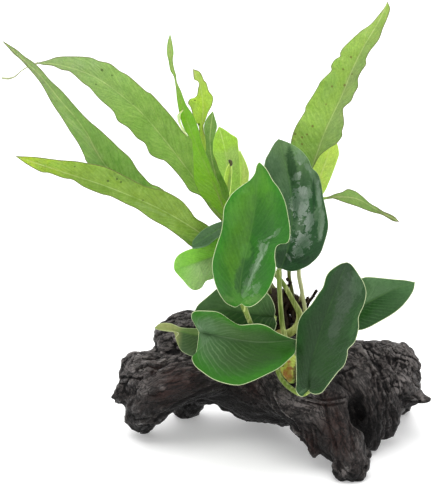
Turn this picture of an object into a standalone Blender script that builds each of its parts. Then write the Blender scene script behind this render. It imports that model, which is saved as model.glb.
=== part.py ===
"""Two aquarium plants, an anubias and a long-leaved fern, growing on a piece of dark driftwood.

The places were read from one photograph, so a point is given as the pixel where it shows and
how far it lies behind the upright plane through the origin, in metres. Widths and thicknesses
are real sizes in metres. +Z is up, +Y points away from the viewer, and the driftwood's feet
stand on Z = 0.
"""

import math

import bmesh
import bpy
from mathutils import Matrix, Vector, noise

# How the photograph was taken: this ties its pixels to real sizes.
PIXEL = 0.0005  # one pixel on the upright plane through the origin
PICTURE_MIDDLE = (217.5, 247.5)
LOOK_DOWN = math.radians(22)
VIEW_DISTANCE = 1.2
EYE_ACROSS = -0.0041
AIM_HEIGHT = 0.1075

# Driving sizes
BLADE_THICKNESS = 0.0007
FROND_THICKNESS = 0.0006
STEM_FOOT_RADIUS = 0.00165
STEM_TOP_RADIUS = 0.00125
STALK_HALF_WIDTH = 0.0011
ROOT_RADIUS = 0.0010
FULL_CROWN_WIDTH = 0.012  # a half blade narrower than this bulges less than its crown
GAP = 0.0003  # left between pieces that touch
CUTTER_GROWTH = 0.00036  # how much larger a cutter is than the piece it stands for
STALK_CLEARANCE = 0.0019  # between a frond's stalk and the rhizome's widest line

# How finely the solids are cut
BLADE_CELLS = (6, 9)
WIDE_FROND_CELLS = (4, 11)
FROND_CELLS = (2, 11)
STALK_CELLS = 4
STEM_POINTS = 7
ROOT_POINTS = 7
RHIZOME_POINTS = 10
AXIS_STEPS = 100  # steps along a rhizome's middle line, to find where a stem starts
CURVE_STEPS = 24  # steps between two given points, before they are spaced evenly
FINE_ROWS = 6  # steps between two rows, of which only the first and last are used
WOOD_VOXEL = 0.0021
WOOD_TRIANGLES = 2250

# Driftwood: chains of balls (pixel across, pixel down, metres back, radius) that melt together.
WOOD_LIMBS = (
    # top of the log, from the hump on the left
    ((179, 341, 0.020, 0.0135), (199, 339, 0.022, 0.0160), (232, 346, 0.021, 0.0165),
     (262, 356, 0.016, 0.0165), (292, 366, 0.010, 0.0165)),
    # knob at the back that carries the fern
    ((262, 352, 0.020, 0.0150), (284, 340, 0.026, 0.0140), (302, 347, 0.021, 0.0120)),
    # body of the log
    ((184, 372, 0.015, 0.0170), (208, 368, 0.020, 0.0185), (238, 373, 0.019, 0.0185),
     (262, 382, 0.015, 0.0205), (286, 386, 0.005, 0.0190), (312, 384, 0.002, 0.0195),
     (345, 371, 0.004, 0.0165), (370, 364, 0.007, 0.0130)),
    # left lump and its shoulder
    ((160, 374, 0.012, 0.0130), (143, 373, 0.011, 0.0118), (131, 391, 0.011, 0.0085),
     (121, 397, 0.011, 0.0040)),
    # root that curves down to the left foot
    ((212, 374, 0.006, 0.0110), (182, 380, 0.003, 0.0125), (161, 391, 0.002, 0.0130),
     (148, 405, 0.004, 0.0115), (142, 418, 0.007, 0.0080), (145, 427, 0.009, 0.0040)),
    # heel under the back of the log
    ((190, 384, 0.026, 0.0120), (187, 405, 0.030, 0.0082)),
    # belly
    ((240, 386, 0.022, 0.0150), (254, 402, 0.022, 0.0105), (271, 405, 0.017, 0.0105),
     (288, 408, 0.006, 0.0085)),
    # front leg
    ((288, 386, -0.003, 0.0160), (298, 395, -0.013, 0.0150), (320, 402, -0.010, 0.0180)),
    ((320, 402, -0.010, 0.0180), (333, 428, -0.022, 0.0152),
     (345, 446, -0.032, 0.0112), (350, 462, -0.040, 0.0083), (353, 472, -0.044, 0.0052)),
    # splinter beside the front leg
    ((306, 425, -0.017, 0.0070), (311, 442, -0.026, 0.0042), (314, 453, -0.031, 0.0022)),
    # wall at the back of the hollow
    ((346, 388, -0.004, 0.0150), (362, 414, -0.008, 0.0135), (371, 438, -0.012, 0.0068)),
    # flange right of the front leg
    ((378, 392, 0.000, 0.0125), (385, 414, -0.001, 0.0085), (385, 429, -0.001, 0.0060)),
    # burl, its lower rim and the broken twig on it
    ((368, 361, 0.007, 0.0112), (392, 370, 0.009, 0.0138), (402, 392, 0.009, 0.0092),
     (413, 397, 0.008, 0.0050), (423, 400, 0.006, 0.0028), (429, 400, 0.006, 0.0022)),
    # root under the back of the burl
    ((394, 386, 0.020, 0.0100), (398, 403, 0.034, 0.0072)),
)
# The hollow between the front leg and the flange, as balls that are taken away
WOOD_HOLLOWS = ((364, 416, -0.027, 0.0088), (369, 433, -0.027, 0.0060))
BALL_SPACING = 0.25
SWELL = 0.0012  # height of the lumps on the wood
SWELL_SIZE = 0.015  # their spacing
FINE_SWELL = 0.5  # height of the finer lumps, as a share of SWELL
FINE_SWELL_SIZE = 0.45  # their spacing, as a share of SWELL_SIZE
FINE_SWELL_SHIFT = Vector((7, 3, 5))  # sets the two patterns apart

# Where the driftwood forks: a point on each cut and the way to the limb
FORKS = {
    "driftwood_left_root": ((-0.029, 0.0, 0.030), (-1.0, 0.0, 0.0)),
    "driftwood_front_leg": ((0.050, -0.018, 0.024), (0.10, -0.76, -0.64)),
    "driftwood_burl": ((0.071, 0.0, 0.030), (1.0, 0.0, 0.0)),
}

# The creeping rhizomes, from the oldest end, as (pixel across, pixel down, metres back, radius)
ANUBIAS_RHIZOME = (
    (280, 335, 0.009, 0.0040), (282, 344, 0.002, 0.0050), (285, 357, -0.006, 0.0052),
    (288, 364, -0.013, 0.0050), (290, 371, -0.019, 0.0044), (291.5, 377, -0.0235, 0.0031),
    (292, 382, -0.026, 0.0019),
)
FERN_RHIZOME = (
    (259, 331, 0.015, 0.0044), (265, 318, 0.017, 0.0054), (269, 305, 0.020, 0.0058),
    (278, 299, 0.027, 0.0056), (291, 303, 0.029, 0.0052), (300, 313, 0.024, 0.0046),
    (306, 327, 0.018, 0.0042), (309, 338, 0.014, 0.0036),
)
# A bare root of the fern that stands up behind the stems
ROOT_PATH = ((303, 318, 0.022), (308, 304, 0.019), (312.5, 297, 0.016), (317, 290, 0.0145))

# Anubias leaves. rib: (pixel across, pixel down, metres back) from the stem to the tip.
# left, right: pixels along each edge from the stem round to the tip, as seen by one who looks
# from the stem to the tip. slope: how far each half leans back, in metres for each metre
# across. crown: how far each half bulges towards the viewer, in metres. stem: how far along
# the rhizome it starts, then its way to the blade.
ANUBIAS = {
    "front": dict(
        rib=((241.5, 304, -0.040), (240, 288, -0.038), (243, 266, -0.035), (250, 236, -0.030),
             (256, 200, -0.024), (259, 162, -0.018)),
        left=((234, 306.5), (225, 301.6), (217.7, 290), (213.4, 276), (212.4, 263), (216, 248),
              (222, 228), (223, 212), (229, 200), (241, 186.5), (253, 178), (257, 168)),
        right=((249, 306), (260, 300.5), (268, 290), (274, 277), (275.5, 266), (275, 252),
               (280, 244), (288, 241), (290, 228), (287, 208), (279, 189), (270, 174)),
        slope=(0.25, 0.10), crown=0.0020,
        stem=(0.68, (271, 351, -0.020), (257, 338, -0.031), (250, 322, -0.0355),
              (246, 312, -0.0368), (243, 303, -0.0373)),
    ),
    "upper_right": dict(
        rib=((281, 268.5, -0.012), (288, 248, -0.011), (292, 218, -0.007), (289, 180, -0.001),
             (278.5, 139, 0.004)),
        left=((276, 266), (271, 245), (267, 215), (263, 185), (264.5, 164), (270, 152)),
        right=((287, 270.5), (300, 269), (311, 263), (320, 253), (326, 238), (328, 224),
               (325, 205), (321, 186), (308, 159), (292, 144.5)),
        slope=(0.20, 0.25), crown=0.0018,
        stem=(0.40, (284.5, 338, -0.0105), (282, 322, -0.010), (279.6, 292, -0.0095),
              (279, 270, -0.0088)),
    ),
    "lower_left": dict(
        rib=((199, 331.7, -0.043), (225, 337, -0.046), (260, 342, -0.043), (297, 340, -0.034)),
        left=((194.4, 323), (192, 316), (197, 311.5), (217, 312), (228, 319), (239, 325),
              (252, 324.2), (264, 325.5), (276, 332), (289, 337.5)),
        right=((198, 344), (196, 353), (192, 359), (196, 367), (205, 374), (220, 381.5),
               (239, 385), (254, 380.5), (270, 373), (284, 363.5), (293, 353)),
        slope=(0.15, -0.35), crown=0.0022,
        stem=(0.78, (274, 363, -0.025), (248, 360, -0.036), (220, 349, -0.0405),
              (201, 334, -0.0402)),
    ),
    "lower_right": dict(
        rib=((309, 389.4, -0.041), (310, 370, -0.044), (318, 340, -0.043), (330, 305, -0.040),
             (347, 262, -0.034)),
        left=((305, 394.5), (299, 395.5), (296, 389), (296.5, 370), (296, 350), (297, 330),
              (302, 315), (313, 302), (321, 290), (327, 276), (338, 265)),
        right=((312, 393.5), (317, 394.2), (323, 391), (330, 381.5), (338, 371), (346, 359),
               (348.5, 348), (356, 338), (358.5, 322), (363, 306), (366, 292), (361, 277)),
        slope=(0.30, 0.20), crown=0.0018,
        stem=(0.88, (280, 367, -0.0275), (279, 373, -0.0305), (283, 381, -0.033),
              (291, 388.5, -0.0360), (301, 394, -0.0377), (309, 392, -0.0380)),
    ),
    "right": dict(
        rib=((341, 318, -0.012), (362, 306, -0.013), (388, 292, -0.012), (415, 282, -0.006)),
        left=((340, 305), (348, 294), (356, 281), (366, 277), (380, 278), (400, 279.7)),
        right=((345, 328), (358, 330.5), (370, 327), (383, 320), (395, 312), (407, 300)),
        slope=(0.25, -0.15), crown=0.0015,
        stem=(0.31, (297, 343, -0.007), (315, 331, -0.009), (330, 321, -0.0095),
              (341, 318, -0.0085)),
    ),
    "left": dict(
        rib=((228, 252, -0.010), (212, 257, -0.012), (195, 263, -0.014), (174.5, 270, -0.013)),
        left=((228, 268), (214, 278), (206, 281), (201.5, 287.5), (195, 290), (188, 286.5),
              (180, 278)),
        right=((222, 238), (207, 243.5), (193, 248), (181, 253), (175.5, 261)),
        slope=(-0.15, 0.15), crown=0.0012,
        stem=(0.22, (268, 335, -0.003), (252, 300, -0.005), (238, 268, -0.006),
              (229, 252, -0.0065)),
    ),
    "small": dict(
        rib=((232, 222, -0.012), (219, 229, -0.014), (205, 238, -0.016), (192, 246, -0.018)),
        left=((226, 232), (216, 239), (205, 246), (197, 248.5)),
        right=((222, 221), (212, 225), (202, 231), (196, 238)),
        slope=(-0.9, 0.9), crown=0.0010,
        stem=(0.13, (294, 330, 0.003), (300, 316, 0.001), (291.7, 298.5, 0.0),
              (282.4, 282.8, 0.0), (262, 258, -0.003), (240, 232, -0.0085),
              (233, 223, -0.0095)),
    ),
    "middle_left": dict(
        rib=((274, 317, -0.014), (250, 313, -0.018), (222, 309, -0.021), (194, 312, -0.022)),
        left=((276, 326), (268, 338), (246, 342), (218, 334), (202, 322)),
        right=((275, 310), (272, 300), (266, 292.5), (252, 286), (234, 285.5), (217, 289),
               (206, 298), (198, 305)),
        slope=(-0.25, 0.30), crown=0.0018,
        stem=(0.49, (277, 348, -0.0110), (273, 337, -0.0120), (273, 325, -0.0110),
              (274.5, 317, -0.0112)),
    ),
    "far_left": dict(
        rib=((214, 338, -0.030), (198, 335.5, -0.031), (178, 331, -0.033), (154, 328, -0.036)),
        left=((211, 354), (194, 356), (182, 351), (177, 341), (178, 333.5), (166, 331)),
        right=((210, 329), (196, 328.5), (183, 327.5), (171, 323.5), (162, 323.8)),
        slope=(-0.25, 0.70), crown=0.0010,
        stem=(0.58, (270, 359, -0.0140), (250, 362, -0.024), (230, 352, -0.0275),
              (215, 339, -0.0275)),
    ),
}

# Fern fronds. stalk: how far along the rhizome it starts, then its way to the blade, and the
# rest as for the anubias. A frond with wide=True is cut into more cells.
FERN = {
    "far_left": dict(
        stalk=(0.10, (261, 311, 0.0075), (262, 287, 0.006), (248, 266, 0.005),
               (228, 250, 0.0045)),
        rib=((206, 238, 0.004), (165, 212, 0.003), (130, 190, 0.001), (107, 167, -0.001),
             (88, 135, -0.002), (61, 101, -0.004), (28, 64, -0.003), (2.5, 41, 0.001)),
        left=((180, 228), (130, 200), (100, 175), (84, 155), (70, 131), (52, 103), (40, 82),
              (22, 61)),
        right=((190, 212), (162, 189), (143, 176), (130, 158), (112, 141), (87, 119), (75, 106),
               (62, 91), (50, 80), (33, 62), (17, 50)),
        slope=(0.55, 0.55), crown=0.0010, wide=True,
    ),
    "low_left": dict(
        stalk=(0.06, (259, 316, 0.003), (260, 298, 0.000), (254, 281, -0.002),
               (246, 270, -0.002)),
        rib=((236, 260, -0.0025), (205, 236, -0.004), (162, 210, -0.008), (111, 188, -0.013),
             (60, 171, -0.020), (15, 156, -0.030)),
        left=((218, 260), (193, 247.6), (182, 239), (167, 228), (151, 219), (137, 209),
              (111, 196.5), (84, 187), (63, 178), (28, 165)),
        right=((225, 242), (208, 226), (196, 218), (182, 201), (162, 190), (145, 186),
               (125, 176), (106, 167), (87, 163), (60, 160), (36, 157)),
        slope=(-0.15, 0.20), crown=0.0010, wide=True,
    ),
    "upper_left": dict(
        stalk=(0.28, (262, 284, 0.016), (248, 262, 0.0155), (238, 244, 0.015)),
        rib=((226, 226, 0.014), (205, 195, 0.015), (188, 170, 0.017), (150, 122, 0.024),
             (126, 99, 0.028), (95, 77, 0.036), (60, 65, 0.043), (36, 63, 0.047)),
        left=((212, 211), (201, 196.5), (183, 181), (172, 168), (157, 159), (145, 143.5),
              (130, 130), (113, 111), (99.5, 99), (83, 83), (62, 70)),
        right=((222, 206), (215, 178), (198, 153), (188, 137), (168, 112), (151.5, 94),
               (129, 76), (110, 63.5), (88, 57), (60.5, 56.5)),
        slope=(-0.10, 0.15), crown=0.0012, wide=True,
    ),
    "twisted": dict(
        stalk=(0.16, (265, 305, 0.0095), (265, 285, 0.0090), (252, 260, 0.008),
               (240, 240, 0.0065)),
        rib=((230, 222, 0.005), (212, 180, 0.004), (198, 148, 0.0035), (186, 118, 0.003),
             (179, 95, 0.001), (175, 77, 0.0), (171, 60, -0.001), (170, 34, -0.003)),
        left=((218, 212), (206, 200), (194, 181), (192.5, 160), (191, 143), (183, 126),
              (177, 100), (176, 87), (171.5, 70.5), (167.5, 56), (168, 42)),
        right=((229, 204), (220, 186.5), (208, 158), (198, 127), (186, 104), (181, 91),
               (177, 82), (175, 68), (172.6, 60), (173, 46)),
        slope=(0.25, 0.25), crown=0.0006,
    ),
    "torn": dict(
        stalk=(0.40, (265, 280, 0.026), (252, 250, 0.0235), (234, 220, 0.020)),
        rib=((222, 200, 0.019), (209, 155, 0.020), (203, 130, 0.021), (203, 105, 0.023),
             (200, 85, 0.025), (193, 69, 0.026)),
        left=((212, 190), (200, 150), (198, 128), (194, 119), (189, 107), (190, 99), (196, 96),
              (199, 86), (194, 78)),
        right=((224, 186), (212, 150), (203.5, 129), (208, 115), (213, 103), (210, 92),
               (204, 80), (198, 73)),
        slope=(0.15, 0.10), crown=0.0006,
    ),
    "dark_point": dict(
        stalk=(0.22, (263, 280, 0.0125), (250, 254, 0.0125), (238, 226, 0.0125)),
        rib=((225, 204, 0.012), (213, 165, 0.011), (210, 138, 0.011), (213, 111, 0.012)),
        left=((219, 196), (207, 160), (205, 142), (205, 126), (210, 115)),
        right=((229, 192), (215, 160), (214, 140), (217, 128), (215, 118)),
        slope=(0.10, 0.10), crown=0.0006,
    ),
    "round_back": dict(
        stalk=(0.46, (268, 282, 0.031), (256, 250, 0.0285), (240, 222, 0.0265)),
        rib=((230, 206, 0.025), (227, 180, 0.026), (226, 155, 0.028), (219, 126.5, 0.031)),
        left=((222, 194), (216, 172), (213, 150), (214, 137)),
        right=((240, 190), (240, 165), (239, 150), (236, 137), (228, 130)),
        slope=(0.15, 0.15), crown=0.0008,
    ),
    "young_spear": dict(
        stalk=(0.34, (267, 282, 0.0205), (252, 252, 0.0190), (236, 222, 0.0178)),
        rib=((227, 204, 0.017), (227, 188, 0.017), (229, 174, 0.0165), (231, 161, 0.016)),
        left=((224, 198), (223.5, 186), (226, 170)),
        right=((229, 198), (231, 186), (232, 170)),
        slope=(0.30, 0.30), crown=0.0006,
    ),
    "pale_back": dict(
        stalk=(0.52, (271, 284, 0.036), (260, 254, 0.036), (246, 222, 0.034)),
        rib=((238, 206, 0.033), (242, 188, 0.034), (244, 168, 0.036), (240, 149.5, 0.039)),
        left=((233, 196), (234, 176), (236, 160)),
        right=((246, 192), (249, 176), (247, 163), (244, 155)),
        slope=(0.15, 0.15), crown=0.0006,
    ),
    "tall_right": dict(
        stalk=(0.80, (305, 310, 0.0130), (302, 292, 0.0130), (298.6, 272, 0.013),
               (300, 240, 0.0145), (304, 205, 0.016)),
        rib=((309, 176, 0.018), (317, 153, 0.019), (326, 129, 0.022), (342, 95, 0.028),
             (352, 70, 0.032), (364, 46, 0.038), (379, 21, 0.046), (387.5, 2, 0.0535)),
        left=((297, 164), (291, 148), (292, 137), (299, 121), (305, 110), (313, 95), (320, 82),
              (331, 70), (334.5, 60), (341, 54), (351, 40), (361, 31), (377, 17)),
        right=((316, 166), (321, 155), (337, 143), (342, 133), (343, 118), (346, 106), (354, 94),
               (358, 82), (361, 72), (366, 61), (371, 50), (380, 36), (387, 19)),
        slope=(0.10, 0.20), crown=0.0012, wide=True,
    ),
    "bright_right": dict(
        stalk=(0.67, (302, 292, 0.0268), (299, 270, 0.0255), (303, 240, 0.0255),
               (307, 222, 0.0258)),
        rib=((309, 208, 0.026), (318, 182, 0.028), (327, 158, 0.031), (333, 134, 0.036)),
        left=((306, 190), (312, 165), (322, 146)),
        right=((323, 194), (330, 181), (335, 167), (339, 153), (337, 141)),
        slope=(0.15, 0.15), crown=0.0006,
    ),
    "drooping_right": dict(
        stalk=(0.59, (292, 292, 0.024), (289, 271, 0.017), (294, 240, 0.011),
               (306, 212, 0.009), (316, 202, 0.009)),
        rib=((326, 198, 0.008), (345, 197, 0.006), (360, 200, 0.003), (380, 211.5, -0.003),
             (399.5, 222, -0.010)),
        left=((333, 194.2), (342, 192), (349, 189.3), (356, 191), (363, 196.5), (372, 203.5),
              (384, 210.5), (395, 217)),
        right=((333, 198.5), (343, 202), (358, 207), (371, 213), (385, 218), (394, 221.5)),
        slope=(0.50, -0.30), crown=0.0004,
    ),
}

COLOURS = {
    "driftwood": (0.035, 0.028, 0.026),
    "anubias_leaf": (0.035, 0.130, 0.022),
    "anubias_stem": (0.270, 0.420, 0.080),
    "fern_frond": (0.200, 0.420, 0.050),
    "anubias_rhizome": (0.330, 0.340, 0.080),
    "fern_rhizome": (0.040, 0.025, 0.020),
}


def material(name, roughness):
    """A Principled BSDF material in one of the object's colours."""
    made = bpy.data.materials.new(name)
    made.use_nodes = True
    shader = made.node_tree.nodes["Principled BSDF"]
    shader.inputs["Base Color"].default_value = (*COLOURS[name], 1)
    shader.inputs["Roughness"].default_value = roughness
    shader.inputs["Metallic"].default_value = 0
    return made


def place(across, down, back):
    """The point seen at a pixel of the photograph and this far behind the middle plane."""
    forward = Vector((0, math.cos(LOOK_DOWN), -math.sin(LOOK_DOWN)))
    upward = Vector((0, math.sin(LOOK_DOWN), math.cos(LOOK_DOWN)))
    eye = Vector((EYE_ACROSS, 0, AIM_HEIGHT)) - VIEW_DISTANCE * forward
    sideways = Vector((PIXEL * (across - PICTURE_MIDDLE[0]), 0, 0))
    ray = VIEW_DISTANCE * forward + sideways + PIXEL * (PICTURE_MIDDLE[1] - down) * upward
    return eye + ray * ((back - eye.y) / ray.y)


def smooth_path(points, count):
    """count + 1 points, evenly spaced along a smooth curve through the given ones."""
    ends = [points[0] * 2 - points[1], *points, points[-1] * 2 - points[-2]]
    dense = []
    for before, start, finish, after in zip(ends, ends[1:], ends[2:], ends[3:]):
        for step in range(CURVE_STEPS):
            u = step / CURVE_STEPS
            dense.append(0.5 * (2 * start + (finish - before) * u
                                + (2 * before - 5 * start + 4 * finish - after) * u * u
                                + (3 * start - before - 3 * finish + after) * u ** 3))
    dense.append(points[-1].copy())
    lengths = [0.0]
    for start, finish in zip(dense, dense[1:]):
        lengths.append(lengths[-1] + (finish - start).length)
    path = []
    piece = 0
    for step in range(count + 1):
        wanted = lengths[-1] * step / count
        while piece < len(dense) - 2 and lengths[piece + 1] < wanted:
            piece += 1
        span = lengths[piece + 1] - lengths[piece]
        path.append(dense[piece].lerp(dense[piece + 1], (wanted - lengths[piece]) / span))
    return path


def way_from(chain, way):
    """A stem's way in full: it starts inside the rhizome, at a share of its length."""
    share, *rest = way
    axis = smooth_path([Vector(ball) for ball in chain], AXIS_STEPS)
    return [axis[round(AXIS_STEPS * share)]] + [Vector(point) for point in rest]


def stalk_way(leaf):
    """A frond's stalk in full: it starts on the rhizome's surface and ends at the rib."""
    inside, *rest = way_from(FERN_RHIZOME, leaf["stalk"])
    length = (place(*rest[0]) - place(*inside.xyz)).length
    start = inside.xyz.lerp(rest[0], (inside.w + STALK_CLEARANCE) / length)
    return [start, *rest, Vector(leaf["rib"][0])]


def add_object(name, data, finish):
    """A new object of the model, in its own collection, with its material."""
    made = bpy.data.objects.new(name, data)
    data.materials.append(finish)
    model.objects.link(made)
    return made


def helper(name, data):
    """A cutter or a raw shape, which is no piece of the model."""
    made = bpy.data.objects.new(name, data)
    cutters.objects.link(made)
    made.hide_render = True
    made.display_type = "WIRE"
    return made


def as_mesh(source):
    """Turns an object into the mesh that its curve or modifiers make, with its seams welded."""
    bpy.context.view_layer.update()
    graph = bpy.context.evaluated_depsgraph_get()
    data = bpy.data.meshes.new_from_object(source.evaluated_get(graph))
    welded = bmesh.new()
    welded.from_mesh(data)
    bmesh.ops.remove_doubles(welded, verts=welded.verts, dist=0.00001)
    welded.to_mesh(data)
    welded.free()
    name = source.name
    made = bpy.data.objects.new(name, data)
    made.matrix_world = source.matrix_world
    made.hide_render = source.hide_render
    made.display_type = source.display_type
    for collection in source.users_collection:
        collection.objects.link(made)
    bpy.data.objects.remove(source)
    made.name = name
    return made


def boolean(target, other, operation):
    """Cuts, keeps or adds what the other object covers, and applies the result."""
    modifier = target.modifiers.new("Boolean", "BOOLEAN")
    modifier.operation = operation
    modifier.object = other
    return as_mesh(target)


def grown(source, name):
    """A wire copy of a solid, a little larger all round, to cut its neighbours with."""
    copy = helper(name, source.data.copy())
    moved = [vertex.co + vertex.normal * CUTTER_GROWTH for vertex in copy.data.vertices]
    for vertex, spot in zip(copy.data.vertices, moved):
        vertex.co = spot
    return copy


def blade_rows(leaf, rows):
    """Rib, left edge and right edge of a blade, as matching lists of (across, down, back)."""
    rib = smooth_path([Vector(point) for point in leaf["rib"]], rows)
    sides = []
    for edge, slope in zip((leaf["left"], leaf["right"]), leaf["slope"]):
        base, tip = leaf["rib"][0][:2], leaf["rib"][-1][:2]
        outline = smooth_path([Vector(point) for point in (base, *edge, tip)], rows)
        side = []
        for middle, point in zip(rib, outline):
            width = (point - middle.xy).length * PIXEL
            side.append(Vector((*point, middle.z + slope * width)))
        sides.append(side)
    return [rib, *sides]


def stalk_rows(way, rows):
    """The same three lists for a flat stalk, from the rhizome to just before the blade."""
    middle = smooth_path(way, rows)
    half = STALK_HALF_WIDTH / PIXEL
    left, right = [], []
    for centre, after in zip(middle, middle[1:]):
        run = (after.xy - centre.xy).normalized() * half
        across = Vector((-run.y, run.x, 0))
        left.append(centre - across)
        right.append(centre + across)
    return [middle[:rows], left, right]


def leaf_sheet(name, leaf, cells, thickness, finish):
    """A blade, and its stalk if it has one: a grid bent to rib and edges, then thickened."""
    across_cells, along_cells = cells
    # The blade stops just short of its points, where its edges would meet the rib.
    last = along_cells * FINE_ROWS
    picks = [1, *range(FINE_ROWS, last, FINE_ROWS), last - 1]
    lines = [[line[pick] for pick in picks] for line in blade_rows(leaf, last)]
    if "stalk" in leaf:
        stalk = stalk_rows(stalk_way(leaf), STALK_CELLS)
        lines = [first + second for first, second in zip(stalk, lines)]
    rib, left, right = lines
    rows = len(rib) - 1
    sheet = bmesh.new()
    bmesh.ops.create_grid(sheet, x_segments=across_cells, y_segments=rows, size=1)
    for vertex in sheet.verts:
        share = vertex.co.x
        row = round((vertex.co.y + 1) / 2 * rows)
        edge = (left if share < 0 else right)[row]
        spot = rib[row].lerp(edge, abs(share))
        width = (edge.xy - rib[row].xy).length * PIXEL
        bulge = min(1.0, width / FULL_CROWN_WIDTH) ** 2 * 4 * abs(share) * (1 - abs(share))
        spot.z -= leaf["crown"] * bulge
        vertex.co = place(*spot)
    data = bpy.data.meshes.new(name)
    sheet.to_mesh(data)
    sheet.free()
    data.shade_smooth()
    blade = add_object(name, data, finish)
    solidify = blade.modifiers.new("Thickness", "SOLIDIFY")
    solidify.thickness = thickness
    solidify.offset = 0
    return blade


def tube(name, points, radii, finish):
    """A round stem: a curve with a bevel and filled caps, thick as its radii say."""
    data = bpy.data.curves.new(name, "CURVE")
    data.dimensions = "3D"
    data.bevel_depth = 1.0
    data.bevel_resolution = 2
    data.use_fill_caps = True
    spline = data.splines.new("POLY")
    spline.points.add(len(points) - 1)
    for control, point, radius in zip(spline.points, points, radii):
        control.co = (*point, 1)
        control.radius = radius
    return add_object(name, data, finish)


def stem(name, way, cutter):
    """A leaf stem from the rhizome to its blade, a little thicker at its foot."""
    last = STEM_POINTS - 1
    points = smooth_path([place(*point[:3]) for point in way], last)
    slimming = (STEM_FOOT_RADIUS - STEM_TOP_RADIUS) / last
    radii = [STEM_FOOT_RADIUS - slimming * step for step in range(STEM_POINTS)]
    return boolean(as_mesh(tube(name, points, radii, anubias_stem)), cutter, "DIFFERENCE")


def rhizome(name, chain, finish, cutter):
    """A creeping rhizome, cut to sit on the wood."""
    balls = [Vector((*place(*ball[:3]), ball[3])) for ball in chain]
    points = smooth_path(balls, RHIZOME_POINTS - 1)
    made = tube(name, [point.xyz for point in points], [point.w for point in points], finish)
    return boolean(as_mesh(made), cutter, "DIFFERENCE")


def half_space(name, point, towards, shift=0.0):
    """A large box that covers everything from a plane onwards, in the given direction."""
    size = 0.5
    direction = Vector(towards).normalized()
    box = bmesh.new()
    bmesh.ops.create_cube(box, size=size)
    data = bpy.data.meshes.new(name)
    box.to_mesh(data)
    box.free()
    made = helper(name, data)
    made.rotation_mode = "QUATERNION"
    made.rotation_quaternion = direction.to_track_quat("Z", "Y")
    made.location = Vector(point) + direction * (size / 2 + shift)
    return made


def balls_along(limb):
    """Centres and radii of the overlapping balls that fill one limb."""
    points = [Vector((*place(across, down, back), radius)) for across, down, back, radius in limb]
    filled = []
    for start, finish in zip(points, points[1:]):
        gap = (finish.xyz - start.xyz).length
        steps = max(1, math.ceil(gap / (BALL_SPACING * min(start.w, finish.w))))
        filled += [start.lerp(finish, step / steps) for step in range(steps)]
    return filled + [points[-1]]


def ball_cluster(name, balls):
    """A raw shape of overlapping balls, each given as its centre and radius."""
    cluster = bmesh.new()
    for ball in balls:
        centre = Matrix.Translation(ball.xyz)
        bmesh.ops.create_icosphere(cluster, subdivisions=2, radius=ball.w, matrix=centre)
    data = bpy.data.meshes.new(name)
    cluster.to_mesh(data)
    cluster.free()
    return helper(name, data)


def swell(point):
    """Height of the driftwood's lumps and hollows at a point."""
    wide = noise.noise(point / SWELL_SIZE)
    fine = noise.noise(point / (SWELL_SIZE * FINE_SWELL_SIZE) + FINE_SWELL_SHIFT)
    return SWELL * (wide + FINE_SWELL * fine)


def driftwood_body():
    """The whole piece of driftwood, still in one: melted balls, lumps, hollows, flat feet."""
    wood = ball_cluster("driftwood", [ball for limb in WOOD_LIMBS for ball in balls_along(limb)])
    melt = wood.modifiers.new("Melt", "REMESH")
    melt.mode = "VOXEL"
    melt.voxel_size = WOOD_VOXEL
    smooth = wood.modifiers.new("Smooth", "SMOOTH")
    smooth.factor = 0.5
    smooth.iterations = 2
    wood = as_mesh(wood)
    moved = [vertex.co + vertex.normal * swell(vertex.co) for vertex in wood.data.vertices]
    for vertex, spot in zip(wood.data.vertices, moved):
        vertex.co = spot
    for number, (across, down, back, radius) in enumerate(WOOD_HOLLOWS):
        ball = Vector((*place(across, down, back), radius))
        wood = boolean(wood, ball_cluster(f"hollow_{number}", [ball]), "DIFFERENCE")
    wood.data.calc_loop_triangles()
    thin = wood.modifiers.new("Fewer faces", "DECIMATE")
    thin.ratio = WOOD_TRIANGLES / len(wood.data.loop_triangles)
    thin.use_collapse_triangulate = True
    wood = as_mesh(wood)
    return boolean(wood, half_space("ground", (0, 0, 0), (0, 0, -1)), "DIFFERENCE")


def wood_piece(name, wood):
    """A copy of the whole driftwood, to be cut down to one of its pieces."""
    data = wood.data.copy()
    data.materials.clear()
    data.shade_smooth()
    return add_object(name, data, driftwood)


def split_driftwood(wood):
    """The trunk and the limbs, parted at the forks with a small gap."""
    trunk = wood_piece("driftwood_trunk", wood)
    taken = []
    for name, (point, towards) in FORKS.items():
        cutter = half_space(name + "_with_gap", point, towards, -GAP)
        trunk = boolean(trunk, cutter, "DIFFERENCE")
        limb = boolean(wood_piece(name, wood), half_space(name + "_side", point, towards),
                       "INTERSECT")
        for other in taken:
            limb = boolean(limb, other, "DIFFERENCE")
        taken.append(cutter)


for old in list(bpy.data.objects):
    bpy.data.objects.remove(old)
model = bpy.data.collections.new("plants_on_driftwood")
cutters = bpy.data.collections.new("cutters")
bpy.context.scene.collection.children.link(model)
bpy.context.scene.collection.children.link(cutters)

driftwood = material("driftwood", 0.8)
anubias_leaf = material("anubias_leaf", 0.35)
anubias_stem = material("anubias_stem", 0.45)
fern_frond = material("fern_frond", 0.5)
anubias_rhizome = material("anubias_rhizome", 0.6)
fern_rhizome = material("fern_rhizome", 0.75)

body = driftwood_body()
split_driftwood(body)
wood_cutter = grown(body, "driftwood_with_gap")

creeping = rhizome("anubias_rhizome", ANUBIAS_RHIZOME, anubias_rhizome, wood_cutter)
stem_cutter = grown(creeping, "anubias_rhizome_with_gap")
for leaf_name, shape in ANUBIAS.items():
    leaf_sheet("anubias_leaf_" + leaf_name, shape, BLADE_CELLS, BLADE_THICKNESS, anubias_leaf)
    stem("anubias_stem_" + leaf_name, way_from(ANUBIAS_RHIZOME, shape["stem"]), stem_cutter)

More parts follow.
